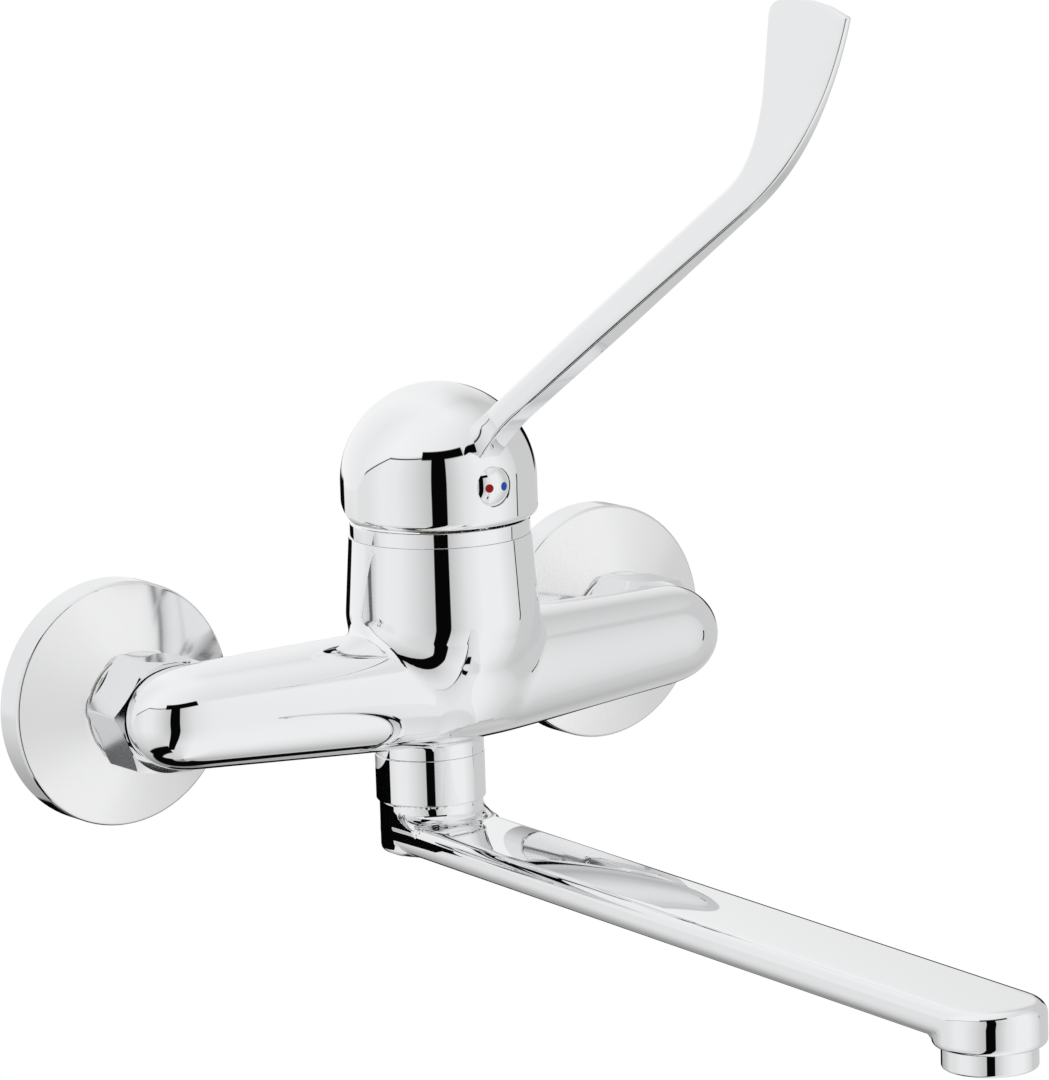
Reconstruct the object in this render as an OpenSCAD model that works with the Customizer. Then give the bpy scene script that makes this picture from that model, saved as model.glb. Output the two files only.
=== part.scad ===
// Wall-mounted elbow lever mixer tap with a swivel spout, in millimetres.
// +X runs to the right along the body, +Y into the wall, +Z up.
// The origin lies on the wall face, midway between the two wall pipes.

/* [Wall connection] */
// Distance between the two wall pipes
inlet_spacing = 150; // [140:0.5:160]
// Height of the tap's inlets above the wall pipes, made by the eccentric unions
union_rise = 5; // [3:0.5:6]
// Outside diameter of the wall thread
wall_thread_d = 20.955; // [19:0.005:23]
// Length of the wall thread behind the wall face
wall_thread_length = 18; // [12:0.5:30]
// Outside diameter of the union thread
union_thread_d = 26.441; // [25:0.001:27.5]
// Water bore of the unions and inlet tails
inlet_bore_d = 13; // [10:0.5:15]

/* [Wall flanges] */
// Diameter of a wall flange
flange_d = 62.6; // [56:0.2:70]
// Depth of the flange rim
flange_rim = 8.4; // [6:0.2:10]
// Rise of the flange face from its rim to its hub
flange_dome = 8; // [4:0.2:9]
// Sheet thickness of the flange
flange_sheet = 1.3; // [0.8:0.1:2]

/* [Union nuts] */
// Width of a union nut across its flats
nut_flats = 30; // [29:0.5:34]
// Length of the hexagon
nut_length = 9.8; // [9:0.2:13]
// Distance from the wall to the hexagon
nut_start = 21.2; // [20.4:0.2:24]
// Angle at which the nuts came to rest
nut_turn = 16; // [0:1:59]
// Height of the round collar behind the hexagon
nut_collar = 1.4; // [0.8:0.1:2]

/* [Body] */
// Distance from the wall to the arm ends
arm_end_reach = 35.4; // [34:0.1:37]
// Distance from an inlet axis out to the centre of the arm's round end
arm_over = 1.7; // [0:0.1:2.5]
// Distance from the wall to the middle of the bowed arms
arm_mid_reach = 44.9; // [43:0.1:47]
// Bend radius at the middle of the arms
arm_bend = 110; // [90:1:130]
// Diameter of the arms at the middle
arm_mid_d = 31.4; // [30:0.2:34]
// Diameter of the arms at their round ends
arm_end_d = 26; // [25:0.2:28]
// Height of the arm axis above the inlets
arm_lift = 0.65; // [0:0.05:1.2]
// Distance from the wall to the neck axis
neck_reach = 42.3; // [40:0.1:45]
// Diameter of the neck at its top
neck_top_d = 46.7; // [45.6:0.1:49]
// Diameter of the neck at its foot
neck_low_d = 49; // [47:0.1:52]
// Height of the neck's top above the inlets
neck_top = 38.5; // [37:0.1:42]
// Radius of the fillet at the neck's foot
neck_fillet = 6; // [3:0.5:8]
// Distance from the wall to the spout axis
outlet_reach = 34; // [33:0.1:36]
// Diameter of the outlet boss
boss_d = 28; // [27:0.1:30]
// Depth of the outlet boss below the inlets
boss_drop = 19.2; // [18:0.1:22]

/* [Cover ring] */
// Diameter of the cover ring
ring_d = 45.9; // [43:0.1:47]
// Height of the cover ring
ring_height = 3.6; // [2:0.1:5]

/* [Lever] */
// Diameter of the cap
cap_d = 50; // [49:0.1:54]
// Gap between the cover ring and the cap
cap_gap = 0.9; // [0.6:0.1:2]
// Height of the cap's straight wall below its dome
cap_wall_height = 9.3; // [8:0.1:12]
// Wall thickness of the cap
cap_wall = 3; // [2:0.1:4]
// Rounding of the cap's lower edge
cap_round = 2; // [1:0.1:2.4]
// Rise angle of the elbow arm's underside
arm_angle = 32; // [28:0.1:36]
// Level distance from the cap axis to the bend on the underside
arm_run = 133.7; // [110:0.1:150]
// Depth of the arm from its upper to its lower edge at the bend
arm_depth = 8.4; // [7.5:0.1:10]
// Angle by which the arm's upper edge is steeper than its underside
arm_taper = 0.7; // [0:0.1:1.5]
// Width of the arm
arm_width = 7; // [6:0.1:10]
// Bend radius of the blade's front edge
blade_front_r = 90; // [75:1:110]
// Bend radius of the blade's back edge
blade_back_r = 35; // [28:0.5:40]
// Height of the blade's front corner above the bend
blade_height = 45.5; // [36:0.5:54]
// Angle of the blade's straight back edge
blade_back_angle = 82; // [80:0.5:84]
// Radius of the blade's curved top
blade_top_r = 46.6; // [40:0.2:60]
// Rise of the curved top over the blade's front corner
blade_crown = 1.6; // [0.8:0.1:3]
// Angle at which the curved top leans back from its front corner
blade_lean = 21.4; // [15:0.2:25]
// Thickness of the blade at the bend
blade_low = 4.1; // [3.4:0.1:5.2]
// Thickness of the blade halfway up
blade_mid = 2.4; // [2.2:0.1:3.2]
// Thickness of the blade at its tip
blade_tip = 2; // [1.6:0.1:2.6]
// Height below the bend at which the arm starts to thin out
thin_start = 34; // [20:1:40]
// Rounding along the arm's upper edges
arm_round = 2.2; // [1:0.1:3]
// Largest lift of the lever in degrees
lift_max = 22; // [15:0.5:23]

/* [Index button] */
// Diameter of the index button
button_d = 10; // [8:0.1:11]
// Diameter of a colour dot
dot_d = 2.2; // [1.4:0.1:3]
// Distance between the two dots
dot_spacing = 4.4; // [3.4:0.1:5]

/* [Cartridge] */
// Diameter of the cartridge
cartridge_d = 35; // [34:0.1:36]
// Depth of the cartridge chamber below the neck's top
chamber_depth = 28.5; // [28:0.1:30]
// Height of the lever pivot above the neck's top
pivot_height = 2; // [1.5:0.1:3]
// Length of the stem's lower leg, from the pivot to its ball
stem_leg = 15.5; // [15:0.1:16]
// Width across the flats of the stem
stem_width = 7.6; // [6.4:0.1:8.4]
// Diameter of the pivot pin
pin_d = 3.5; // [2.5:0.1:4]
// Diameter of the stem's ball
ball_d = 5.8; // [5.2:0.1:6]
// Thickness of the fixed ceramic disc
fixed_disc_height = 4; // [3.4:0.1:4.2]
// Thickness of the moving ceramic disc
moving_disc_height = 3.5; // [3:0.1:3.8]

/* [Spout] */
// Distance from the swivel axis to the outlet axis
spout_reach = 222.8; // [150:0.5:300]
// Downward slope of the spout in degrees
spout_slope = 1.3; // [0:0.1:4]
// Width of the flat tube
tube_width = 26.2; // [25:0.1:26.4]
// Height of the flat tube
tube_height = 8.6; // [7.6:0.1:10]
// Wall thickness of the tube
tube_wall = 1.6; // [1:0.1:2]
// Rounding of the tube's lower edges
tube_low_round = 3.4; // [2:0.1:3.6]
// Height of the round stub above the flat tube
stub_height = 4.3; // [3:0.1:8]
// Diameter of the round stub
stub_d = 26.6; // [26.4:0.1:27.6]
// Rounding of the stub's lower edge
stub_round = 1.5; // [0.8:0.1:3]
// Diameter of the spout's tail in the body
tail_d = 18; // [16:0.1:19]
// Diameter of the round end boss
end_d = 26.6; // [26.4:0.1:27.6]
// Height of the round end boss
end_height = 9.9; // [9.4:0.1:14]
// Rounding of the end boss's lower edge
end_round = 1.2; // [0.6:0.1:1.4]

/* [Collar nut] */
// Diameter of the collar nut
collar_d = 28.2; // [27.6:0.1:31]
// Height of the collar nut
collar_height = 12; // [11:0.1:14]

/* [Aerator] */
// Diameter of the aerator housing below the spout
aerator_d = 22.4; // [21.6:0.1:23.4]
// Height of the aerator housing below the spout
aerator_height = 5.4; // [4.5:0.1:8]
// Diameter of the aerator's thread
aerator_thread_d = 21.8; // [20:0.1:22]
// Diameter of the outlet mouth
mouth_d = 18; // [15:0.1:18.4]

/* [Clearances] */
// Gap between pieces that move past each other
free_gap = 0.4; // [0.3:0.05:0.5]
// Radial clearance of a running fit
run_gap = 0.05; // [0.02:0.01:0.08]
// Clearance between pieces that are screwed or clamped together
seat_gap = 0.05; // [0.02:0.01:0.08]

/* [Hidden] */
$fn = 96;

chrome = [0.86, 0.87, 0.88];
brass = [0.78, 0.64, 0.38];
rubber = [0.12, 0.12, 0.13];
plastic = [0.85, 0.85, 0.82];
ceramic = [0.93, 0.92, 0.88];

inlet_x = inlet_spacing / 2;
bore_r = inlet_bore_d / 2;
wall_r = wall_thread_d / 2;
union_r = union_thread_d / 2;
hub_z = flange_rim + flange_dome;
hub_sleeve = 3.4;
union_step = hub_z - hub_sleeve - 1.4;
shoulder_start = 3;
shoulder_end = 8;
nut_end = nut_start + nut_length;
lip = 1.5;
lip_r = union_r - 2.8;
tail_flange = 2;
washer_height = 2;
tail_front = nut_end - lip - seat_gap;
washer_front = tail_front - tail_flange - seat_gap;
union_front = washer_front - washer_height - seat_gap;
tail_cut = nut_end + free_gap;
tail_screw = 6.6;
tail_screw_r = lip_r - 0.9;

arm_mid_r = arm_mid_d / 2;
arm_end_r = arm_end_d / 2;
arm_bow = arm_mid_reach - arm_end_reach;
bend_leg = arm_bend - arm_bow;
arm_tip = inlet_x + arm_over;
arm_half = atan2(arm_tip, bend_leg) - acos(arm_bend / norm([arm_tip, bend_leg]));
arm_length = (arm_tip - arm_bend * sin(arm_half)) / cos(arm_half);
channel_r = 6;

ring_top = neck_top + ring_height;
cap_bottom = ring_top + cap_gap;
dome_z = cap_bottom + cap_wall_height;
cap_r = cap_d / 2;
pivot_z = neck_top + pivot_height;
relief_z = pivot_z + (ring_top + free_gap - pivot_z) / cos(lift_max);

chamber_r = cartridge_d / 2 + 0.2;
floor_z = neck_top - chamber_depth;
seal_proud = 0.4;
base_z = floor_z + seal_proud;
fixed_z = base_z + 3.6;
moving_z = fixed_z + fixed_disc_height + run_gap;
driver_z = moving_z + moving_disc_height;
ball_z = pivot_z - stem_leg;
driver_height = ball_z + 2 - driver_z;
carrier_z = driver_z + driver_height + free_gap;
carrier_flange = 3.2;
carrier_top = pivot_z + pin_d / 2 + 1.8;
carrier_r = 12.5;
housing_r = cartridge_d / 2;
hollow_r = housing_r - 1.6;
housing_shelf = carrier_z + carrier_flange + free_gap;
housing_step = housing_shelf + 2;
housing_top = housing_step + 2.6;
nut_seat_r = chamber_r + 2.3;
slide_travel = stem_leg * lift_max * PI / 180;
disc_start = slide_travel / 2;
port_spread = 8.5;
port_front = 4.5;
port_back = outlet_offset();
port_r = 4;

boss_r = boss_d / 2;
collar_r = collar_d / 2;
collar_top = -boss_drop - seat_gap;
collar_low = collar_top - collar_height;
collar_lip = 2.1;
spigot_r = collar_r - 1.9;
slide_height = 1.1;
spigot_low = collar_low + collar_lip + slide_height + 2 * free_gap;
spout_tail_r = tail_d / 2;
socket_r = spout_tail_r + run_gap;
socket_top = -7;
stub_top = collar_low - free_gap;
tube_top = stub_top - stub_height;
end_drop = spout_reach * tan(spout_slope);
end_top = tube_top - end_drop;
end_low = end_top - end_height;
seal_r = 0.85;
groove_r = spout_tail_r - 2 * seal_r - seat_gap;
ring_levels = [-11, -16];

screw_z = dome_z + 1.1;
bend_z = under(arm_run);
upper_angle = arm_angle + arm_taper;
back_u = arm_run - arm_depth * sin(upper_angle) - 5.3;
back_z = under(back_u) + arm_depth / cos(arm_angle);
root_u = 18;

// Distance of the spout axis behind the neck axis
function outlet_offset() = neck_reach - outlet_reach;

// Places a piece on the neck axis
module at_neck() {
    translate([0, -neck_reach, union_rise]) children();
}

// Places a piece on the spout's swivel axis
module at_outlet() {
    translate([0, -outlet_reach, union_rise]) children();
}

// Turns a piece drawn along +Z so that it points out of the wall at an inlet
module at_inlet(side, rise) {
    translate([side * inlet_x, 0, rise]) rotate([90, 0, 0]) children();
}

// Round bar between two heights
module bar(radius, low, high) {
    translate([0, 0, low]) cylinder(r = radius, h = high - low);
}

// Ring between two heights
module ring(outer, inner, low, high) {
    difference() {
        bar(outer, low, high);
        bar(inner, low - 1, high + 1);
    }
}

// Body with its bowed arms, neck and outlet boss

// Half of the bowed body, from the bend to its round end
module arm_outline() {
    difference() {
        union() {
            polygon([[0, 0], [arm_mid_r, 0], [arm_end_r, arm_length], [0, arm_length]]);
            translate([0, arm_length]) circle(arm_end_r);
        }
        translate([-2 * arm_end_r, -1]) square([2 * arm_end_r, arm_length + 2 * arm_end_r + 2]);
    }
}

// Frame of one arm: Z runs from the bend to the arm's end
module on_arm(side) {
    translate([0, arm_bend - arm_mid_reach, union_rise + arm_lift])
        rotate([0, 0, side * arm_half])
            translate([0, -arm_bend, 0])
                rotate([0, side * 90, 0]) children();
}

module arms() {
    translate([0, arm_bend - arm_mid_reach, union_rise + arm_lift])
        rotate([0, 0, -90 - arm_half])
            rotate_extrude(angle = 2 * arm_half) translate([arm_bend, 0]) circle(arm_mid_r);
    for (side = [-1, 1]) on_arm(side) rotate_extrude() arm_outline();
}

// Neck wall with a concave foot
module neck_outline() {
    foot_z = arm_lift + arm_mid_r;
    foot_r = neck_low_d / 2;
    difference() {
        polygon([
            [0, foot_z], [foot_r + neck_fillet, foot_z], [foot_r + neck_fillet, foot_z + neck_fillet],
            [foot_r, foot_z + neck_fillet], [neck_top_d / 2, neck_top], [0, neck_top]
        ]);
        translate([foot_r + neck_fillet, foot_z + neck_fillet]) circle(neck_fillet);
        translate([foot_r + 0.3 * neck_fillet, -1]) square([neck_fillet, foot_z + neck_fillet + 1]);
    }
}

// Shoulder that carries the neck's foot down onto the arms
module shoulder() {
    foot_z = arm_lift + arm_mid_r;
    foot_r = neck_low_d / 2 + 0.3 * neck_fillet;
    hull() {
        at_neck() bar(foot_r - 0.02, foot_z + 0.2, foot_z + 0.27 * neck_fillet, $fn = 64);
        translate([0, -arm_mid_reach, union_rise + arm_lift]) sphere(arm_mid_r - 0.3, $fn = 48);
        for (side = [-1, 1])
            on_arm(side) translate([0, 0, 7]) sphere(arm_mid_r - 0.5, $fn = 48);
    }
}

module body() {
    color(chrome) difference() {
        union() {
            arms();
            at_neck() rotate_extrude() neck_outline();
            shoulder();
            at_outlet() bar(boss_r, -boss_drop, -8);
            at_outlet() translate([0, 0, -8]) sphere(boss_r);
            at_outlet() bar(spigot_r, spigot_low, -boss_drop + 1);
        }
        at_neck() bar(chamber_r, floor_z, neck_top + 1);
        at_neck() bar(nut_seat_r, housing_step, neck_top + 1);
        for (side = [-1, 1]) {
            at_inlet(side, union_rise) bar(arm_end_r + 8, 0, tail_cut);
            at_inlet(side, union_rise) bar(tail_screw_r, 0, tail_cut + tail_screw);
            at_inlet(side, union_rise) bar(channel_r, 0, arm_end_reach);
            on_arm(side) bar(channel_r, -7, arm_length);
            at_neck() translate([side * port_spread, -port_front, 0]) bar(port_r, arm_lift, floor_z + 1);
        }
        at_outlet() bar(socket_r, spigot_low - 1, socket_top);
        at_outlet() bar(port_r, socket_top - 1, floor_z + 1);
    }
}

// Wall connections

module wall_union(side) {
    color(brass) difference() {
        union() {
            at_inlet(side, 0) bar(wall_r, -wall_thread_length, shoulder_start + 1);
            at_inlet(side, 0) bar(wall_r + 2.5, shoulder_start, shoulder_end);
            at_inlet(side, union_rise) bar(union_r + 1.2, union_step - 4, union_step);
            at_inlet(side, union_rise) bar(union_r, union_step - 1, union_front);
        }
        at_inlet(side, 0) bar(bore_r, -wall_thread_length - 1, shoulder_end + 1);
        at_inlet(side, union_rise) bar(bore_r, shoulder_end - 2, union_front + 1);
    }
}

module union_left() {
    wall_union(-1);
}

module union_right() {
    wall_union(1);
}

// Half section of the dished flange
module flange_outline() {
    rim_r = flange_d / 2;
    hub_r = union_r + seat_gap;
    polygon([
        [rim_r, 0], [rim_r, flange_rim - 0.8], [rim_r - 0.8, flange_rim],
        [hub_r + 2.4, hub_z - 0.2], [hub_r + 0.4, hub_z], [hub_r, hub_z - 0.4],
        [hub_r, hub_z - hub_sleeve], [hub_r + 1.4, hub_z - hub_sleeve],
        [hub_r + 2.4, hub_z - flange_sheet - 0.4],
        [rim_r - flange_sheet, flange_rim - flange_sheet - 0.4], [rim_r - flange_sheet, 0]
    ]);
}

module wall_flange(side) {
    color(chrome) at_inlet(side, union_rise) rotate_extrude() flange_outline();
}

module flange_left() {
    wall_flange(-1);
}

module flange_right() {
    wall_flange(1);
}

// Hexagon with both ends chamfered, bored for the union thread
module union_nut(side) {
    corner_r = nut_flats / sqrt(3);
    color(chrome) at_inlet(side, union_rise) difference() {
        union() {
            intersection() {
                rotate([0, 0, side * nut_turn]) translate([0, 0, nut_start])
                    cylinder(r = corner_r, h = nut_length, $fn = 6);
                rotate_extrude() polygon([
                    [0, nut_start], [corner_r - 0.4, nut_start], [corner_r + 0.4, nut_start + 0.8],
                    [corner_r + 0.4, nut_end - 2], [corner_r - 1.9, nut_end], [0, nut_end]
                ]);
            }
            bar(corner_r + 0.2, nut_start - nut_collar, nut_start + 0.1);
        }
        bar(union_r + seat_gap, nut_start - nut_collar - 1, nut_end - lip);
        bar(lip_r, nut_end - lip - 1, nut_end + 1);
    }
}

module nut_left() {
    union_nut(-1);
}

module nut_right() {
    union_nut(1);
}

// Collared tail that the union nut pulls against its washer
module inlet_tail(side) {
    color(brass) at_inlet(side, union_rise) difference() {
        union() {
            bar(union_r - 0.6, washer_front + seat_gap, tail_front);
            bar(lip_r - free_gap, tail_front - 1, tail_cut);
            bar(tail_screw_r - seat_gap, tail_cut - 1, tail_cut + tail_screw - seat_gap);
        }
        bar(bore_r - 0.5, 0, arm_end_reach + 20);
    }
}

module tail_left() {
    inlet_tail(-1);
}

module tail_right() {
    inlet_tail(1);
}

module inlet_washer(side) {
    color(rubber) at_inlet(side, union_rise)
        ring(union_r - 0.6, bore_r, union_front + seat_gap, washer_front);
}

module washer_left() {
    inlet_washer(-1);
}

module washer_right() {
    inlet_washer(1);
}

// Ceramic cartridge

// Centres of the hot, cold and outlet ports
module at_ports() {
    for (side = [-1, 1]) translate([side * port_spread, -port_front, 0]) children();
    translate([0, port_back, 0]) children();
}

module cartridge_base() {
    color(plastic) at_neck() difference() {
        bar(housing_r, base_z, fixed_z);
        at_ports() bar(port_r, base_z - 1, fixed_z + 1);
        at_ports() bar(port_r + 2, base_z - 1, base_z + 1.2);
    }
}

module base_seals() {
    color(rubber) at_neck() at_ports()
        ring(port_r + 2 - seat_gap, port_r + 0.4, floor_z, base_z + 1.2 - seat_gap);
}

module cartridge_housing() {
    color(plastic) at_neck() difference() {
        union() {
            bar(housing_r, fixed_z, housing_step);
            bar(carrier_r + 1.5, housing_step - 1, housing_top);
        }
        bar(hollow_r, fixed_z - 1, housing_shelf);
        bar(carrier_r + run_gap, housing_shelf - 1, housing_top + 1);
    }
}

module fixed_disc() {
    color(ceramic) at_neck() difference() {
        bar(hollow_r - seat_gap, fixed_z, fixed_z + fixed_disc_height);
        at_ports() bar(port_r - 0.4, fixed_z - 1, fixed_z + fixed_disc_height + 1);
    }
}

// Sliding disc with a blind mixing pocket underneath
module moving_disc() {
    color(ceramic) at_neck() translate([0, disc_start, 0]) difference() {
        bar(11.4, moving_z, driver_z);
        translate([-6, -7, moving_z - 1]) cube([12, 13, 2.8]);
    }
}

module disc_driver() {
    half = ball_d / 2 + free_gap + 0.05;
    color(plastic) at_neck() translate([0, disc_start, 0]) difference() {
        bar(10.6, driver_z, driver_z + driver_height);
        translate([-half, -disc_start - half, driver_z - 1]) cube([2 * half, 2 * half, driver_height + 2]);
    }
}

// Turning carrier with the slot in which the stem tilts
module carrier() {
    slot = stem_width + 2 * free_gap;
    back = stem_width / 2 + free_gap + 2.6;
    front = (stem_leg - 2) * tan(lift_max) + 4.2;
    color(plastic) at_neck() difference() {
        union() {
            bar(hollow_r - 0.6, carrier_z, carrier_z + carrier_flange);
            bar(carrier_r, carrier_z + carrier_flange - 1, carrier_top);
        }
        translate([-slot / 2, -front, carrier_z - 1]) cube([slot, front + back, carrier_top - carrier_z + 2]);
        translate([0, 0, pivot_z]) rotate([0, 90, 0]) bar(pin_d / 2 + seat_gap, -carrier_r - 1, carrier_r + 1);
    }
}

module pivot_pin() {
    color(brass) at_neck() translate([0, 0, pivot_z]) rotate([0, 90, 0])
        bar(pin_d / 2, 0.6 - carrier_r, carrier_r - 0.6);
}

// Square stem on the pivot pin, with a leg and ball below
module stem() {
    half = stem_width / 2;
    color(brass) at_neck() difference() {
        union() {
            translate([-half, -half, pivot_z - 2.6]) cube([stem_width, stem_width, dome_z + 13 - pivot_z]);
            bar(2.2, ball_z, pivot_z);
            translate([0, 0, ball_z]) sphere(ball_d / 2);
        }
        translate([0, 0, pivot_z]) rotate([0, 90, 0]) bar(pin_d / 2 + run_gap, -stem_width, stem_width);
    }
}

module cartridge_nut() {
    color(brass) at_neck() difference() {
        bar(nut_seat_r - seat_gap, housing_step, ring_top - 0.6);
        bar(carrier_r + 2, housing_step - 1, ring_top);
        for (a = [0, 90, 180, 270])
            rotate([0, 0, a]) translate([carrier_r + 1, -1.5, ring_top - 2.6]) cube([4, 3, 3]);
    }
}

module cover_ring() {
    color(chrome) at_neck() rotate_extrude() polygon([
        [nut_seat_r + 0.1, neck_top], [ring_d / 2, neck_top], [ring_d / 2, ring_top - 0.4],
        [ring_d / 2 - 0.4, ring_top], [nut_seat_r + 0.1, ring_top]
    ]);
}

// Lever: domed cap, elbow arm and upright blade

// Height of the arm's underside at a distance from the cap axis
function under(u) = dome_z - 3.4 + u * tan(arm_angle);

// Straight arm seen from the side: distance from the cap axis, then height
module arm_side() {
    above = 4 * [-sin(upper_angle), cos(upper_angle)];
    polygon([[root_u, under(root_u)], [arm_run, bend_z], [back_u, back_z] + above, [root_u, bend_z] + above]);
}

// Upright blade seen from the side, bounded by three arcs and its straight back edge
module blade_side() {
    front_c = [arm_run - blade_front_r * sin(arm_angle), bend_z + blade_front_r * cos(arm_angle)];
    back_c = [back_u - blade_back_r * sin(upper_angle), back_z + blade_back_r * cos(upper_angle)];
    tip_angle = acos((front_c[1] - bend_z - blade_height) / blade_front_r);
    tip = front_c + blade_front_r * [sin(tip_angle), -cos(tip_angle)];
    back_end = back_c + blade_back_r * [sin(blade_back_angle), -cos(blade_back_angle)];
    top_c = tip - (blade_top_r - blade_crown) * [sin(blade_lean), cos(blade_lean)];
    over = blade_height;
    lean = over / tan(blade_back_angle);
    difference() {
        intersection() {
            polygon([
                [back_u, back_z], [arm_run, bend_z], [tip[0] + over, bend_z], [tip[0] + over, back_end[1] + over],
                [back_end[0] + lean, back_end[1] + over], back_end
            ]);
            translate(front_c) circle(blade_front_r, $fn = 360);
            translate(top_c) circle(blade_top_r, $fn = 360);
        }
        translate(back_c) circle(blade_back_r, $fn = 180);
    }
}

// Bar along the arm with two rounded upper edges
module arm_bar() {
    half = arm_width / 2;
    depth = 3 * arm_depth;
    translate([0, -back_u, back_z]) rotate([90 - upper_angle, 0, 0])
        translate([0, 0, -back_u / cos(upper_angle)]) linear_extrude(back_u / cos(upper_angle) + depth) union() {
            translate([-half, -depth]) square([arm_width, depth - arm_round]);
            translate([arm_round - half, -depth]) square([arm_width - 2 * arm_round, depth]);
            for (side = [-1, 1]) translate([side * (half - arm_round), -arm_round]) circle(arm_round);
        }
}

// Arm and blade, thinning out towards the tip
module lever_arm() {
    half = arm_width / 2;
    tip_z = bend_z + blade_height + 8;
    start_z = bend_z - thin_start;
    step = (thin_start + 4) / (half - blade_low / 2);
    intersection() {
        union() {
            intersection() {
                rotate([90, 0, -90]) linear_extrude(4 * half, center = true) arm_side();
                arm_bar();
            }
            rotate([90, 0, -90]) linear_extrude(2 * half, center = true) blade_side();
        }
        rotate([90, 0, 0]) linear_extrude(4 * (arm_run + blade_height), center = true) polygon([
            [-half - 1, 0], [half + 1, 0], [half + 1, start_z - step], [blade_low / 2, bend_z + 4],
            [blade_mid / 2, bend_z + 29], [blade_tip / 2, tip_z], [-blade_tip / 2, tip_z],
            [-blade_mid / 2, bend_z + 29], [-blade_low / 2, bend_z + 4], [-half - 1, start_z - step]
        ]);
    }
}

// Outside of the cap
module cap_outline() {
    difference() {
        union() {
            translate([0, cap_bottom + cap_round]) square([cap_r, cap_wall_height - cap_round]);
            translate([0, cap_bottom]) square([cap_r - cap_round, cap_wall_height]);
            translate([cap_r - cap_round, cap_bottom + cap_round]) circle(cap_round);
            translate([0, dome_z]) circle(cap_r, $fn = 180);
        }
        translate([-2 * cap_r, -1]) square([2 * cap_r, dome_z + 2 * cap_r]);
        translate([0, cap_bottom - cap_r]) square([2 * cap_r, cap_r]);
    }
}

module lever() {
    inner_r = cap_r - cap_wall;
    socket = stem_width / 2 + seat_gap;
    color(chrome) at_neck() difference() {
        union() {
            difference() {
                union() {
                    rotate_extrude() cap_outline();
                    lever_arm();
                }
                bar(inner_r, cap_bottom - 10, dome_z);
                translate([0, 0, dome_z]) sphere(inner_r);
            }
            intersection() {
                union() {
                    bar(8.4, dome_z - 2, dome_z + cap_r);
                    translate([0, 0, screw_z]) rotate([90, 0, 0]) bar(button_d / 2 + 1.4, 0, cap_r);
                }
                rotate_extrude() cap_outline();
            }
        }
        translate([-socket, -socket, cap_bottom]) cube([2 * socket, 2 * socket, dome_z + 11 - cap_bottom]);
        translate([0, 0, screw_z]) rotate([90, 0, 0]) bar(2.5, 0, cap_r + 1);
        translate([0, 0, screw_z]) rotate([90, 0, 0]) bar(button_d / 2 + seat_gap, cap_r - 3.6, cap_r + 2);
        translate([-cap_r - 1, 0, relief_z]) rotate([lift_max, 0, 0])
            translate([0, 0, -cap_r]) cube([2 * cap_r + 2, 2 * cap_r, cap_r]);
    }
}

module grub_screw() {
    color(brass) at_neck() translate([0, 0, screw_z]) rotate([90, 0, 0]) difference() {
        bar(2.5 - seat_gap, stem_width / 2 + seat_gap, stem_width / 2 + 10);
        translate([0, 0, stem_width / 2 + 7]) cylinder(r = 1.45, h = 4, $fn = 6);
    }
}

module index_button() {
    color(chrome) at_neck() translate([0, 0, screw_z]) rotate([90, 0, 0]) {
        rotate_extrude() polygon([
            [0, cap_r - 3.5], [button_d / 2, cap_r - 3.5], [button_d / 2, cap_r - 1.1],
            [button_d / 2 - 0.4, cap_r - 0.7], [0, cap_r - 0.7]
        ]);
    }
}

module colour_dot(side) {
    at_neck() translate([side * dot_spacing / 2, 0, screw_z]) rotate([90, 0, 0])
        bar(dot_d / 2, cap_r - 0.7, cap_r - 0.55);
}

module red_dot() {
    color([0.8, 0.08, 0.08]) colour_dot(-1);
}

module blue_dot() {
    color([0.1, 0.2, 0.75]) colour_dot(1);
}

// Spout and its swivel

module collar_nut() {
    color(chrome) at_outlet() difference() {
        rotate_extrude() polygon([
            [0, collar_low], [collar_r - 0.3, collar_low], [collar_r, collar_low + 0.3],
            [collar_r, collar_top - 0.3], [collar_r - 0.3, collar_top], [0, collar_top]
        ]);
        bar(spigot_r + seat_gap, collar_low + collar_lip, collar_top + 1);
        bar(spout_tail_r + 1.2, collar_low - 1, collar_top);
    }
}

// Flat section with two rounded lower edges, its top on the zero line
module tube_section(width, height, round_r, spare) {
    translate([-width / 2, round_r - height]) square([width, height - round_r + spare]);
    translate([round_r - width / 2, -height]) square([width - 2 * round_r, height]);
    for (side = [-1, 1]) translate([side * (width / 2 - round_r), round_r - height]) circle(round_r);
}

// Frame of the flat tube: Z runs from the swivel axis towards the outlet
module on_tube() {
    at_outlet() translate([0, 0, tube_top]) rotate([90 + spout_slope, 0, 0]) children();
}

// Upright post with a rounded lower edge
module post_outline(radius, low, high, edge) {
    translate([0, low + edge]) square([radius, high - low - edge]);
    translate([0, low]) square([radius - edge, edge]);
    intersection() {
        translate([radius - edge, low + edge]) circle(edge);
        translate([radius - edge, low]) square(edge);
    }
}

// Tube and end boss, cut off together by the sloping top
module spout_outside() {
    tube_run = spout_reach / cos(spout_slope);
    difference() {
        union() {
            on_tube() linear_extrude(tube_run) tube_section(tube_width, tube_height, tube_low_round, 3);
            at_outlet() translate([0, -spout_reach, 0])
                rotate_extrude() post_outline(end_d / 2, end_low, end_top + 2, end_round);
        }
        on_tube() translate([-end_d, 0, -end_d]) cube([2 * end_d, 10, tube_run + 2 * end_d]);
    }
    at_outlet() rotate_extrude()
        post_outline(stub_d / 2, tube_top - tube_height - 0.3, stub_top, stub_round);
    at_outlet() bar(spout_tail_r, stub_top - 1, socket_top - 1);
}

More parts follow.
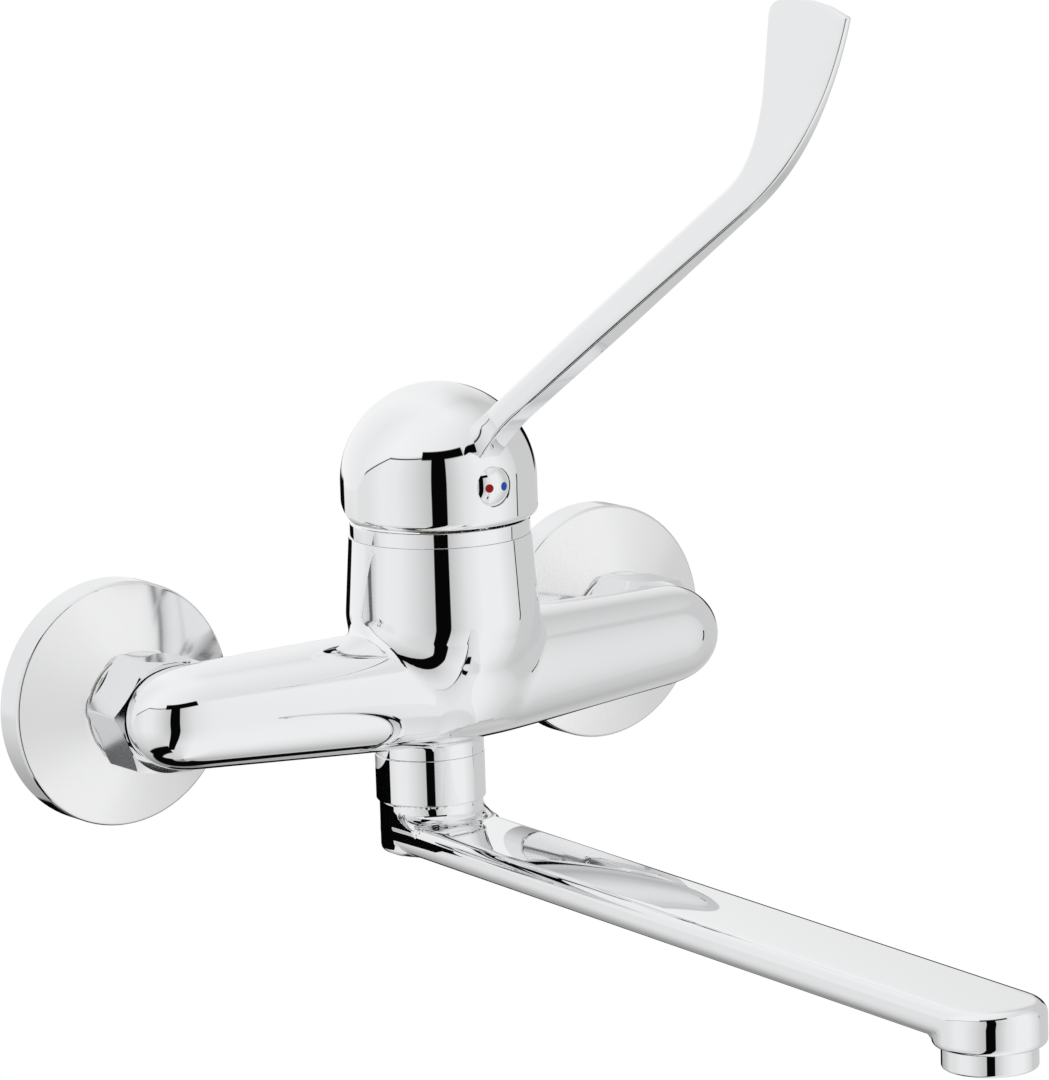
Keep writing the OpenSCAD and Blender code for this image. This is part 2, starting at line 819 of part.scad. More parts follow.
module spout() {
    inner_w = tube_width - 2 * tube_wall;
    inner_h = tube_height - 2 * tube_wall;
    tube_run = spout_reach / cos(spout_slope);
    color(chrome) difference() {
        spout_outside();
        on_tube() translate([0, -tube_wall, -4])
            linear_extrude(tube_run + 8) tube_section(inner_w, inner_h, 2, 0);
        at_outlet() bar(groove_r - 1.4, tube_top - tube_height + tube_wall, 0);
        for (level = ring_levels) at_outlet() ring(spout_tail_r + 1, groove_r, level - 1.1, level + 1.1);
        at_outlet() ring(spout_tail_r + 1, groove_r, slide_low(), slide_low() + slide_height);
        at_outlet() translate([0, -spout_reach, 0])
            bar(aerator_thread_d / 2 + seat_gap, end_low - 1, end_low + 7);
    }
}

// Underside of the retaining ring on the spout's tail
function slide_low() = collar_low + collar_lip + free_gap;

module spout_rings() {
    color(rubber) at_outlet() for (level = ring_levels) translate([0, 0, level])
        rotate_extrude() translate([spout_tail_r - seal_r, 0]) circle(seal_r, $fn = 32);
}

module slide_ring() {
    color(plastic) at_outlet()
        ring(spigot_r - free_gap, groove_r + seat_gap, slide_low() + 0.02, slide_low() + slide_height - 0.02);
}

// Aerator in the spout's mouth
module aerator_housing() {
    mouth = mouth_d / 2;
    color(chrome) at_outlet() translate([0, -spout_reach, 0]) difference() {
        union() {
            rotate_extrude() post_outline(aerator_d / 2, end_low - aerator_height, end_low - seat_gap, 0.6);
            bar(aerator_thread_d / 2, end_low - 1, end_low + 5);
        }
        bar(mouth, end_low - aerator_height - 1, end_low + 6);
        bar(mouth + 0.6, end_low - aerator_height + 2.2, end_low + 6);
    }
}

module aerator_insert() {
    mouth = mouth_d / 2;
    low = end_low - aerator_height + 2.2;
    color(plastic) at_outlet() translate([0, -spout_reach, 0]) difference() {
        bar(mouth + 0.6 - seat_gap, low + seat_gap, end_low + 4.4);
        bar(mouth - 1, low + 2, end_low + 5);
        for (a = [0:30:330]) rotate([0, 0, a]) translate([mouth - 2.6, 0, 0]) bar(0.9, low - 1, low + 3);
        for (a = [0:60:300]) rotate([0, 0, a]) translate([mouth - 5.6, 0, 0]) bar(0.9, low - 1, low + 3);
        bar(0.9, low - 1, low + 3);
    }
}

module aerator_gasket() {
    color(rubber) at_outlet() translate([0, -spout_reach, 0])
        ring(aerator_thread_d / 2 - 0.3, mouth_d / 2 - 1, end_low + 5 + seat_gap, end_low + 6.6);
}

body();
union_left();
union_right();
flange_left();
flange_right();
nut_left();
nut_right();
tail_left();
tail_right();
washer_left();
washer_right();
cartridge_base();
base_seals();
cartridge_housing();
fixed_disc();
moving_disc();
disc_driver();
carrier();
pivot_pin();
stem();
cartridge_nut();
cover_ring();
lever();
grub_screw();
index_button();
red_dot();
blue_dot();
collar_nut();
spout();
spout_rings();
slide_ring();
aerator_housing();
aerator_insert();
aerator_gasket();
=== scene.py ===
"""Looks of a wall-mounted elbow lever tap: polished pieces, hidden parts, studio and camera."""

import logging
import math
from dataclasses import dataclass
from enum import Enum
from typing import Callable

import bmesh
import bpy
import numpy as np
from bmesh.types import BMesh, BMVert
from mathutils import Matrix, Vector


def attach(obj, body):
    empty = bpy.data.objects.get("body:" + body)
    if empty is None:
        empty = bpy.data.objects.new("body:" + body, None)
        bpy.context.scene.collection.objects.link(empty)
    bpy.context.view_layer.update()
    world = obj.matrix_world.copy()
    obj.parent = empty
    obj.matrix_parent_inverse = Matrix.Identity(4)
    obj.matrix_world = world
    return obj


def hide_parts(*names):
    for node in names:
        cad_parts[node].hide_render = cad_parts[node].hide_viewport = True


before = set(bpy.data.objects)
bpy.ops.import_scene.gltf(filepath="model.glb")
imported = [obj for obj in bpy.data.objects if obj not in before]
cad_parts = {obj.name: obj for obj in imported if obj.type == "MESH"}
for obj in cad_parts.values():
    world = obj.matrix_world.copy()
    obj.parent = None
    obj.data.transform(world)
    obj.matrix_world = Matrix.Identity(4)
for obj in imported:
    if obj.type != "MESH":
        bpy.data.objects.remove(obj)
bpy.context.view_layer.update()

LOG = logging.getLogger("elbow_tap")
MM = 0.001
ROUND_STEPS = 160
NORMAL_WEIGHT = 80
QUARTER_TURN = math.pi / 2

# Shared places of the tap, in millimetres
INLET_X = 75.0
RISE = 5.0
NECK_Y = -42.3
OUTLET_Y = -34.0
NECK_TOP = 38.5
RING_TOP = 42.1
CAP_LOW = 43.0
DOME_Z = 52.3
CAP_R = 25.0
COLLAR_TOP = -19.25
COLLAR_LOW = -31.25
STUB_TOP = -31.33
TUBE_TOP = -35.95
SPOUT_REACH = 222.8
SPOUT_SLOPE = math.radians(1.3)

# Types that many functions share
Socket = bpy.types.NodeSocket
Sockets = bpy.types.bpy_prop_collection
Values = dict[str | int, object]
Stops = tuple[tuple[float, float], ...]


class Body(Enum):
    """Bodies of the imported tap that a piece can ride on."""

    FIXED = "fixed"
    HANDLE = "handle"
    OUTFLOW = "outflow"


class Slot(Enum):
    """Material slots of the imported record."""

    CHROME = "chrome"
    BRASS = "brass"
    STEEL = "steel"
    RUBBER = "rubber"
    PLASTIC = "plastic"
    INSERT = "insert"
    CERAMIC = "ceramic"
    RED = "red"
    BLUE = "blue"


class Side(Enum):
    """Left and right of the tap."""

    LEFT = -1
    RIGHT = 1


# Shader nodes and finishes


def grey(tone: float) -> tuple[float, float, float, float]:
    """Colour of one grey tone."""
    return tone, tone, tone, 1.0


class Nodes:
    """Adds nodes to one shader tree and links them."""

    def __init__(self, tree: bpy.types.NodeTree) -> None:
        """Keeps the tree that takes the nodes."""
        self.tree = tree

    def feed(self, inputs: Sockets, values: Values) -> None:
        """Links sockets to a node's inputs, or sets the inputs' own values.

        Args:
            inputs: Inputs of the node.
            values: Sockets or values by the input's name or number.
        """
        for label, value in values.items():
            if isinstance(value, Socket):
                self.tree.links.new(value, inputs[label])
            else:
                inputs[label].default_value = value

    def add(self, kind: str, values: Values | None = None, **settings: object) -> Sockets:
        """Adds one node.

        Args:
            kind: Node type.
            values: Sockets or values of its inputs.
            **settings: Settings of the node.

        Returns:
            The node's outputs.
        """
        node = self.tree.nodes.new(kind)
        for label, value in settings.items():
            setattr(node, label, value)
        self.feed(node.inputs, values or {})
        return node.outputs

    def calc(self, kind: str, first: Socket, second: Socket | float) -> Socket:
        """Adds one Math node and gives its result."""
        return self.add("ShaderNodeMath", {0: first, 1: second}, operation=kind)[0]

    def chain(self, kind: str, values: list[Socket]) -> Socket:
        """Joins several values by one kind of Math node.

        Args:
            kind: Operation name.
            values: Sockets to join, in order.

        Returns:
            The result socket.
        """
        whole = values[0]
        for value in values[1:]:
            whole = self.calc(kind, whole, value)
        return whole

    def vector(self, kind: str, *values: object) -> Sockets:
        """Adds one Vector Math node and gives its outputs."""
        return self.add("ShaderNodeVectorMath", dict(enumerate(values)), operation=kind)

    def noise(self, scale: Socket, detail: float) -> Socket:
        """Adds a noise on Object coordinates and gives its value."""
        spot = self.add("ShaderNodeTexCoord")["Object"]
        return self.add("ShaderNodeTexNoise", {"Vector": spot, "Scale": scale, "Detail": detail})["Fac"]

    def span(self, value: Socket, low: float, high: float) -> Socket:
        """Gives the share of the way from one value to another, held between 0 and 1."""
        return self.add("ShaderNodeMapRange", {"Value": value, "From Min": low, "From Max": high})["Result"]

    def mix(self, share: object, first: object, second: object, blend: str = "MIX") -> Socket:
        """Mixes two colours by the share of the second one."""
        colours = {"Factor": share, 6: first, 7: second}
        return self.add("ShaderNodeMix", colours, data_type="RGBA", blend_type=blend)[2]

    def ramp(self, value: Socket, stops: Stops) -> Socket:
        """Adds a ramp of grey tones.

        Args:
            value: Socket that drives the ramp.
            stops: Positions with tones.

        Returns:
            The colour socket.
        """
        colour = self.add("ShaderNodeValToRGB", {"Fac": value})["Color"]
        points = colour.node.color_ramp.elements
        points[0].position, points[1].position = stops[0][0], stops[-1][0]
        points[0].color, points[1].color = grey(stops[0][1]), grey(stops[-1][1])
        for position, tone in stops[1:-1]:
            points.new(position).color = grey(tone)
        return colour

    def show(self, output: str, lit: Socket, seen: Socket) -> None:
        """Shows one shader to diffuse rays and another to camera, glossy and transmission rays.

        Args:
            output: Name of the tree's output node.
            lit: Shader that lights matt surfaces.
            seen: Shader that is seen directly and in mirrors.
        """
        path = self.add("ShaderNodeLightPath")
        mirror = self.calc("MAXIMUM", path["Is Glossy Ray"], path["Is Transmission Ray"])
        direct = self.calc("MAXIMUM", path["Is Camera Ray"], mirror)
        both = self.add("ShaderNodeMixShader", {0: direct, 1: lit, 2: seen})[0]
        self.feed(self.tree.nodes[output].inputs, {"Surface": both})


def new_material(name: str) -> tuple[bpy.types.Material, Nodes, bpy.types.Node]:
    """Starts a material.

    Args:
        name: Name of the material.

    Returns:
        The material, its nodes and its Principled shader.
    """
    made = bpy.data.materials.new(name)
    made.use_nodes = True
    return made, Nodes(made.node_tree), made.node_tree.nodes["Principled BSDF"]


def build_surface_wear() -> bpy.types.NodeTree:
    """Builds the group that varies tone, roughness and grain over a surface.

    Returns:
        Group with scales, low and high values in, and Tone, Roughness and Grain out.
    """
    tree = bpy.data.node_groups.new("surface_wear", "ShaderNodeTree")
    labels = {"INPUT": ("Scale", "Grain Scale", "Low Tone", "High Tone", "Low Roughness", "High Roughness"),
              "OUTPUT": ("Tone", "Roughness", "Grain")}
    for way, names in labels.items():
        for name in names:
            tree.interface.new_socket(name, in_out=way, socket_type="NodeSocketFloat")
    source, result = tree.nodes.new("NodeGroupInput").outputs, tree.nodes.new("NodeGroupOutput").inputs
    nodes = Nodes(tree)
    cloud, grain = nodes.noise(source["Scale"], CLOUD_DETAIL), nodes.noise(source["Grain Scale"], GRAIN_DETAIL)
    for name in ("Tone", "Roughness"):
        low, high = source[f"Low {name}"], source[f"High {name}"]
        part = nodes.calc("MULTIPLY", nodes.calc("SUBTRACT", high, low), cloud)
        nodes.feed(result, {name: nodes.calc("ADD", part, low)})
    nodes.feed(result, {"Grain": grain})
    return tree


CLOUD_DETAIL = 3.0
GRAIN_DETAIL = 2.0
GRAIN_DEPTH = 0.0001
WEAR = build_surface_wear()


@dataclass(frozen=True)
class Finish:
    """A surface finish whose tone, roughness and grain vary over the piece."""

    name: str
    slot: Slot
    colour: tuple[float, float, float]
    metallic: float
    roughness: tuple[float, float]
    tone: tuple[float, float]
    cloud_scale: float
    grain_scale: float
    grain: float
    coat: float = 0.0
    gloss: float = 0.5

    def material(self) -> bpy.types.Material:
        """Gives the finish's material, built on first use.

        Returns:
            The procedural material.
        """
        known = bpy.data.materials.get(self.name)
        if known:
            return known
        made, nodes, shader = new_material(self.name)
        wear = nodes.add("ShaderNodeGroup", {
            "Scale": self.cloud_scale, "Grain Scale": self.grain_scale,
            "Low Tone": self.tone[0], "High Tone": self.tone[1],
            "Low Roughness": self.roughness[0], "High Roughness": self.roughness[1]}, node_tree=WEAR)
        colour = nodes.mix(1.0, (*self.colour, 1.0), wear["Tone"], "MULTIPLY")
        nodes.feed(shader.inputs, {
            "Base Color": colour, "Roughness": wear["Roughness"], "Metallic": self.metallic,
            "Coat Weight": self.coat, "Specular IOR Level": self.gloss})
        if self.grain:
            bump = nodes.add("ShaderNodeBump", {"Strength": self.grain, "Distance": GRAIN_DEPTH,
                                                "Height": wear["Grain"]})
            nodes.feed(shader.inputs, {"Normal": bump["Normal"]})
        return made


# Each finish: colour, metal, roughness, tone, cloud scale, grain scale, grain, coat and gloss
CHROME = Finish("polished_chrome", Slot.CHROME, (0.93, 0.935, 0.945), 1.0, (0.012, 0.03), (0.985, 1.0), 35.0, 700.0,
                0.0)
NUT_CHROME = Finish("nut_chrome", Slot.CHROME, (0.88, 0.885, 0.895), 1.0, (0.03, 0.07), (0.97, 1.0), 70.0, 900.0,
                    0.02)
FLANGE_CHROME = Finish("flange_chrome", Slot.CHROME, (0.95, 0.952, 0.956), 0.8, (0.09, 0.13), (0.985, 1.0), 45.0,
                       800.0, 0.0)
BRASS = Finish("turned_brass", Slot.BRASS, (0.78, 0.6, 0.3), 1.0, (0.2, 0.34), (0.86, 1.0), 90.0, 1400.0, 0.12)
STEEL = Finish("ground_steel", Slot.STEEL, (0.62, 0.63, 0.65), 1.0, (0.22, 0.34), (0.88, 1.0), 120.0, 1600.0, 0.1)
RUBBER = Finish("seal_rubber", Slot.RUBBER, (0.03, 0.03, 0.032), 0.0, (0.5, 0.68), (0.8, 1.0), 180.0, 2200.0, 0.3)
PLASTIC = Finish("moulded_plastic", Slot.PLASTIC, (0.72, 0.72, 0.69), 0.0, (0.34, 0.46), (0.93, 1.0), 110.0, 1500.0,
                 0.15)
INSERT = Finish("aerator_plastic", Slot.INSERT, (0.32, 0.33, 0.35), 0.0, (0.36, 0.5), (0.9, 1.0), 140.0, 1800.0,
                0.15)
CERAMIC = Finish("lapped_ceramic", Slot.CERAMIC, (0.86, 0.85, 0.8), 0.0, (0.1, 0.18), (0.95, 1.0), 80.0, 2000.0,
                 0.05, 0.3)
RED = Finish("red_enamel", Slot.RED, (0.3, 0.003, 0.006), 0.0, (0.35, 0.45), (0.9, 1.0), 300.0, 3000.0, 0.05, 0.0,
             0.12)
BLUE = Finish("blue_enamel", Slot.BLUE, (0.006, 0.075, 0.4), 0.0, (0.35, 0.45), (0.9, 1.0), 300.0, 3000.0, 0.05,
              0.0, 0.12)


# Mesh helpers


class Turning:
    """A half section drawn with lines and arcs, then turned about its upright axis."""

    def __init__(self, radius: float, height: float) -> None:
        """Starts the section at a distance from the axis and a height, in millimetres."""
        self.bm = bmesh.new()
        self.tip: BMVert = self.bm.verts.new((radius, 0.0, height))

    def line(self, *points: tuple[float, float]) -> "Turning":
        """Draws straight lines through points.

        Args:
            *points: Distances from the axis with heights.

        Returns:
            The section.
        """
        for radius, height in points:
            self.tip = bmesh.ops.extrude_vert_indiv(self.bm, verts=[self.tip])["verts"][0]
            self.tip.co = (radius, 0.0, height)
        return self

    def arc(self, radius: float, height: float, degrees: float, steps: int) -> "Turning":
        """Draws an arc about a centre.

        Args:
            radius: Distance of the arc's centre from the axis.
            height: Height of the arc's centre.
            degrees: Angle of the arc, positive from the radius towards the height.
            steps: Number of segments.

        Returns:
            The section.
        """
        made = bmesh.ops.spin(self.bm, geom=[self.tip], cent=(radius, 0.0, height), axis=(0.0, -1.0, 0.0),
                              angle=math.radians(degrees), steps=steps)
        self.tip = next(g for g in made["geom_last"] if isinstance(g, BMVert))
        return self

    def turned(self, steps: int = ROUND_STEPS) -> BMesh:
        """Turns the section into a closed solid.

        Args:
            steps: Segments around the axis.

        Returns:
            The solid, in millimetres about the Z axis.
        """
        bmesh.ops.spin(self.bm, geom=self.bm.verts[:] + self.bm.edges[:], cent=(0, 0, 0), axis=(0, 0, 1),
                       angle=math.tau, steps=steps, use_merge=True)
        bmesh.ops.remove_doubles(self.bm, verts=self.bm.verts[:], dist=1e-5)
        bmesh.ops.recalc_face_normals(self.bm, faces=self.bm.faces[:])
        return self.bm


def post(radius: float, low: float, high: float, steps: int = ROUND_STEPS) -> BMesh:
    """Turns a plain round post between two heights."""
    return Turning(0, low).line((radius, low), (radius, high), (0, high)).turned(steps)


def place(bm: BMesh, matrix: Matrix) -> BMesh:
    """Moves a whole mesh by a matrix and returns it."""
    bmesh.ops.transform(bm, matrix=matrix, verts=bm.verts[:])
    return bm


def up(height: float) -> Matrix:
    """Shift along Z."""
    return Matrix.Translation((0.0, 0.0, height))


def at_neck() -> Matrix:
    """Place of pieces drawn about the neck axis."""
    return Matrix.Translation((0.0, NECK_Y, RISE))


def at_outlet(reach: float = 0.0) -> Matrix:
    """Place of pieces drawn about the spout axis, or a distance along the spout."""
    return Matrix.Translation((0.0, OUTLET_Y - reach, RISE))


def at_inlet(side: Side) -> Matrix:
    """Place of pieces drawn from the wall outwards at one inlet."""
    return Matrix.Translation((side.value * INLET_X, 0.0, RISE)) @ Matrix.Rotation(QUARTER_TURN, 4, "X")


def add_rod(bm: BMesh, low_r: float, high_r: float, depth: float, matrix: Matrix, segments: int = 64) -> None:
    """Adds a capped rod or cone about its middle."""
    bmesh.ops.create_cone(bm, cap_ends=True, segments=segments, radius1=low_r, radius2=high_r, depth=depth,
                          matrix=matrix)


def join(whole: BMesh, part: BMesh) -> BMesh:
    """Adds one mesh to another.

    Args:
        whole: Mesh that grows.
        part: Mesh to add; it is freed.

    Returns:
        The grown mesh.
    """
    spare = bpy.data.meshes.new("spare")
    part.to_mesh(spare)
    part.free()
    whole.from_mesh(spare)
    bpy.data.meshes.remove(spare)
    return whole


def through_modifier(bm: BMesh, kind: str, tool: BMesh | None = None, **settings: object) -> BMesh:
    """Runs one modifier on a mesh and takes its result.

    Args:
        bm: Mesh to change.
        kind: Modifier type.
        tool: Second mesh for a Boolean; it is freed.
        **settings: Modifier settings.

    Returns:
        The changed mesh.
    """
    meshes = [bpy.data.meshes.new(f"work_{n}") for n in range(2 if tool else 1)]
    objects = [bpy.data.objects.new(mesh.name, mesh) for mesh in meshes]
    for source, mesh, obj in zip((bm, tool), meshes, objects):
        source.to_mesh(mesh)
        bpy.context.scene.collection.objects.link(obj)
    step = objects[0].modifiers.new(kind.lower(), kind)
    for label, value in settings.items():
        setattr(step, label, value)
    if tool:
        step.object = objects[1]
        step.solver = "EXACT"
        tool.free()
    bpy.context.view_layer.update()
    shaped = bpy.data.meshes.new_from_object(objects[0].evaluated_get(bpy.context.evaluated_depsgraph_get()))
    bm.clear()
    bm.from_mesh(shaped)
    for obj in objects:
        bpy.data.objects.remove(obj)
    for mesh in (*meshes, shaped):
        bpy.data.meshes.remove(mesh)
    return bm


def cut(bm: BMesh, tool: BMesh) -> BMesh:
    """Cuts one solid out of another and returns the rest."""
    return through_modifier(bm, "BOOLEAN", tool, operation="DIFFERENCE")


def extend_ring(bm: BMesh, ring: list[BMVert], places: list[Vector]) -> list[BMVert]:
    """Extrudes a closed ring of edges to new places.

    Args:
        bm: Mesh that holds the ring.
        ring: Vertices of the ring in order.
        places: Places of the new ring's vertices in the same order.

    Returns:
        The new ring.
    """
    edges = [bm.edges.get((ring[n - 1], ring[n])) for n in range(len(ring))]
    made = bmesh.ops.extrude_edge_only(bm, edges=edges)["geom"]
    fresh = {g for g in made if isinstance(g, BMVert)}
    following = [next(e.other_vert(v) for e in v.link_edges if e.other_vert(v) in fresh) for v in ring]
    for vert, spot in zip(following, places):
        vert.co = spot
    return following


def make_piece(bm: BMesh, name: str, body: Body, finish: Finish, nodes: tuple[str, ...] = (),
               sharp: float = 35.0, weighted: bool = True, second: Finish | None = None,
               pick: Callable[[Vector], bool] = lambda spot: True) -> bpy.types.Object:
    """Turns a mesh in millimetres into a finished piece of the tap.

    Args:
        bm: The mesh; it is freed.
        name: Name of the piece.
        body: Body that it rides on.
        finish: Its surface finish.
        nodes: CAD nodes that it stands for.
        sharp: Angle in degrees above which an edge stays crisp.
        weighted: Whether large faces keep their own normals.
        second: Finish of the faces that are picked, if any.
        pick: Tells from a face's middle in millimetres whether it takes the second finish.

    Returns:
        The new object.
    """
    mesh = bpy.data.meshes.new(name)
    place(bm, Matrix.Scale(MM, 4))
    bm.to_mesh(mesh)
    bm.free()
    mesh.shade_smooth()
    mesh.set_sharp_from_angle(angle=math.radians(sharp))
    obj = bpy.data.objects.new(name, mesh)
    bpy.context.scene.collection.objects.link(obj)
    mesh.materials.append(finish.material())
    if second:
        mesh.materials.append(second.material())
        for face in mesh.polygons:
            face.material_index = int(pick(face.center / MM))
    if weighted:
        even = obj.modifiers.new("even_light", "WEIGHTED_NORMAL")
        even.keep_sharp = True
        even.weight = NORMAL_WEIGHT
    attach(obj, body.value)
    if nodes:
        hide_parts(*nodes)
    LOG.info("%s: %d faces on %s", name, len(mesh.polygons), body.value)
    return obj


def dress(finish: Finish, *names: str) -> None:
    """Gives carried-over CAD nodes a finish.

    Args:
        finish: Finish for every material slot of the nodes.
        *names: Names of the CAD nodes.
    """
    for name in names:
        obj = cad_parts[name]
        if not obj.material_slots:
            obj.data.materials.append(finish.material())
        for slot in obj.material_slots:
            slot.material = finish.material()
        LOG.info("%s: CAD node in %s", name, finish.name)


# Smooth cast skins


def round_union(a: np.ndarray, b: np.ndarray, radius: float) -> np.ndarray:
    """Joins two distance fields with a fillet of a radius."""
    corner = np.hypot(np.maximum(radius - a, 0.0), np.maximum(radius - b, 0.0))
    return np.maximum(radius, np.minimum(a, b)) - corner


def round_common(a: np.ndarray, b: np.ndarray, radius: float) -> np.ndarray:
    """Keeps what two distance fields share, with an edge of a radius."""
    return -round_union(-a, -b, radius)


class Skin:
    """A cast skin: a mesh that settles on the zero level of a distance field."""

    probe = 0.01
    near = 0.02
    facing = 0.75
    rounds = 3
    smoothing = 0.5
    settle_steps = 6

    def __init__(self, field: Callable[[np.ndarray], np.ndarray], grain: float) -> None:
        """Keeps the field, which gives distances for rows of points, and the mesh's edge length."""
        self.field = field
        self.grain = grain

    def normals(self, points: np.ndarray) -> np.ndarray:
        """Gives unit outward directions of the field.

        Args:
            points: Rows of points in millimetres.

        Returns:
            Rows of unit vectors.
        """
        steps = self.probe * np.eye(3)
        slope = np.stack([self.field(points + step) - self.field(points - step) for step in steps], axis=1)
        return slope / np.maximum(np.linalg.norm(slope, axis=1, keepdims=True), 1e-12)

    def wrap(self, seed: BMesh) -> BMesh:
        """Remeshes rough solids into one skin and settles it on the field.

        Args:
            seed: Overlapping solids near the final shape.

        Returns:
            The settled mesh.
        """
        bm = through_modifier(seed, "REMESH", mode="VOXEL", voxel_size=self.grain, adaptivity=0.0)
        for _ in range(self.rounds):
            self.settle(bm)
            bmesh.ops.smooth_vert(bm, verts=bm.verts[:], factor=self.smoothing, use_axis_x=True, use_axis_y=True,
                                  use_axis_z=True)
        self.settle(bm)
        return bm

    def settle(self, bm: BMesh) -> None:
        """Moves every vertex onto the field's zero level.

        Args:
            bm: Mesh near that level.
        """
        points = np.array([v.co[:] for v in bm.verts])
        for _ in range(self.settle_steps):
            reach = np.clip(self.field(points), -self.grain, self.grain)
            points -= reach[:, None] * self.normals(points)
        for vert, spot in zip(bm.verts, points):
            vert.co = spot

    def shade(self, obj: bpy.types.Object) -> None:
        """Gives the skin the field's own normals and cut faces their flat ones.

        Args:
            obj: Finished piece in metres.
        """
        mesh = obj.data
        points = np.empty(len(mesh.vertices) * 3)
        mesh.vertices.foreach_get("co", points)
        points = points.reshape(-1, 3) / MM
        bent = self.normals(points)
        near = np.abs(self.field(points)) < self.near
        custom: list[tuple[float, float, float]] = []
        for face in mesh.polygons:
            flat = np.array(face.normal)
            for corner in face.vertices:
                follows = near[corner] and float(bent[corner] @ flat) > self.facing
                custom.append(tuple(bent[corner]) if follows else tuple(flat))
        mesh.normals_split_custom_set(custom)


# Sub-assemblies, with sizes in millimetres


@dataclass
class WallConnection:
    """Flange and union nut of one inlet, with the brass parts behind them."""

    side: Side
    flange_r: float = 31.3
    flange_rim: float = 8.4
    flange_top: float = 14.4
    flange_edge: float = 1.1
    flange_turn: float = 71.0
    sheet: float = 1.3
    seam: float = 0.4
    hub_r: float = 13.27
    hub_depth: float = 3.4
    hub_ring: float = 2.2
    hub_drop: float = 0.25
    hub_flat: float = 0.9
    hub_edge: float = 0.6
    hub_turn: float = 105.0
    lip: float = 1.4
    lip_slope: float = 2.4
    nut_flats: float = 28.0
    nut_start: float = 16.4
    nut_end: float = 31.0
    nut_edge: float = 0.5
    nut_spare: float = 0.5
    nut_chamfer: float = 0.7
    front_chamfer: tuple[float, float] = (2.2, 2.0)
    nut_lip: float = 1.5
    bore_spare: float = 3.0
    nut_collar: float = 0.9
    collar_proud: float = 0.6
    collar_edges: tuple[float, float] = (0.3, 0.25)
    nut_turn: float = math.radians(23.0)
    tail_r: float = 10.42

    def build(self) -> None:
        """Builds the flange and the nut and dresses the hidden parts."""
        tag = self.side.name.lower()
        flange = place(self.flange(), at_inlet(self.side))
        make_piece(flange, f"flange_{tag}_shell", Body.FIXED, NUT_CHROME, (f"flange_{tag}",), second=FLANGE_CHROME,
                   pick=lambda spot: math.hypot(abs(spot.x) - INLET_X, spot.z - RISE) < self.flange_r - self.sheet)
        nut = place(self.nut(), at_inlet(self.side))
        make_piece(nut, f"nut_{tag}_hexagon", Body.FIXED, NUT_CHROME, (f"nut_{tag}",), sharp=24.0)
        dress(BRASS, f"union_{tag}", f"tail_{tag}")
        dress(RUBBER, f"washer_{tag}")

    def flange(self) -> BMesh:
        """Turns the dished flange from its half section.

        Returns:
            The flange, drawn from the wall outwards.
        """
        rim, edge, hub, top = self.flange_r, self.flange_edge, self.hub_r, self.flange_top
        inner, deep = rim - self.sheet, top - self.hub_depth
        section = Turning(rim, 0.0).line((rim, self.flange_rim - edge))
        section.arc(rim - edge, self.flange_rim - edge, self.flange_turn, 7)
        section.line((hub + self.hub_ring, top - self.hub_drop), (hub + self.hub_flat, top))
        section.arc(hub + self.hub_edge, top - self.hub_edge, self.hub_turn, 5)
        section.line((hub, deep), (hub + self.lip, deep), (hub + self.lip_slope, top - self.sheet - self.seam),
                     (inner, self.flange_rim - self.sheet - self.seam), (inner, 0.0), (rim, 0.0))
        return section.turned()

    def nut(self) -> BMesh:
        """Shapes the hexagon nut with chamfered ends and a thin collar.

        Returns:
            The nut, drawn from the wall outwards.
        """
        start, end, hub = self.nut_start, self.nut_end, self.hub_r
        corner, length = self.nut_flats / math.sqrt(3), end - start
        nut = bmesh.new()
        add_rod(nut, corner, corner, length, up(start + length / 2) @ Matrix.Rotation(self.nut_turn, 4, "Z"), 6)
        upright = [e for e in nut.edges if abs(e.verts[0].co.z - e.verts[1].co.z) > length / 2]
        bmesh.ops.bevel(nut, geom=upright, offset=self.nut_edge, segments=3, profile=0.5, affect="EDGES",
                        material=-1)
        wide, near, (inset, drop) = corner + self.nut_spare, self.nut_chamfer, self.front_chamfer
        chamfer = Turning(0, start).line((corner - near, start), (wide, start + near), (wide, end - drop),
                                         (corner - inset, end), (0, end))
        nut = through_modifier(nut, "BOOLEAN", chamfer.turned(), operation="INTERSECT")
        nut = cut(nut, post(hub, start - self.bore_spare, end - self.nut_lip))
        nut = cut(nut, post(self.tail_r, end - self.bore_spare, end + 1))
        outer, low = self.nut_flats / 2 + self.collar_proud, start - self.nut_collar
        below, above = self.collar_edges
        collar = Turning(hub, low).line((outer - below, low)).arc(outer - below, low + below, 90, 3)
        collar.line((outer, start - above)).arc(outer - above, start - above, 90, 3)
        return join(nut, collar.line((hub, start), (hub, low)).turned())


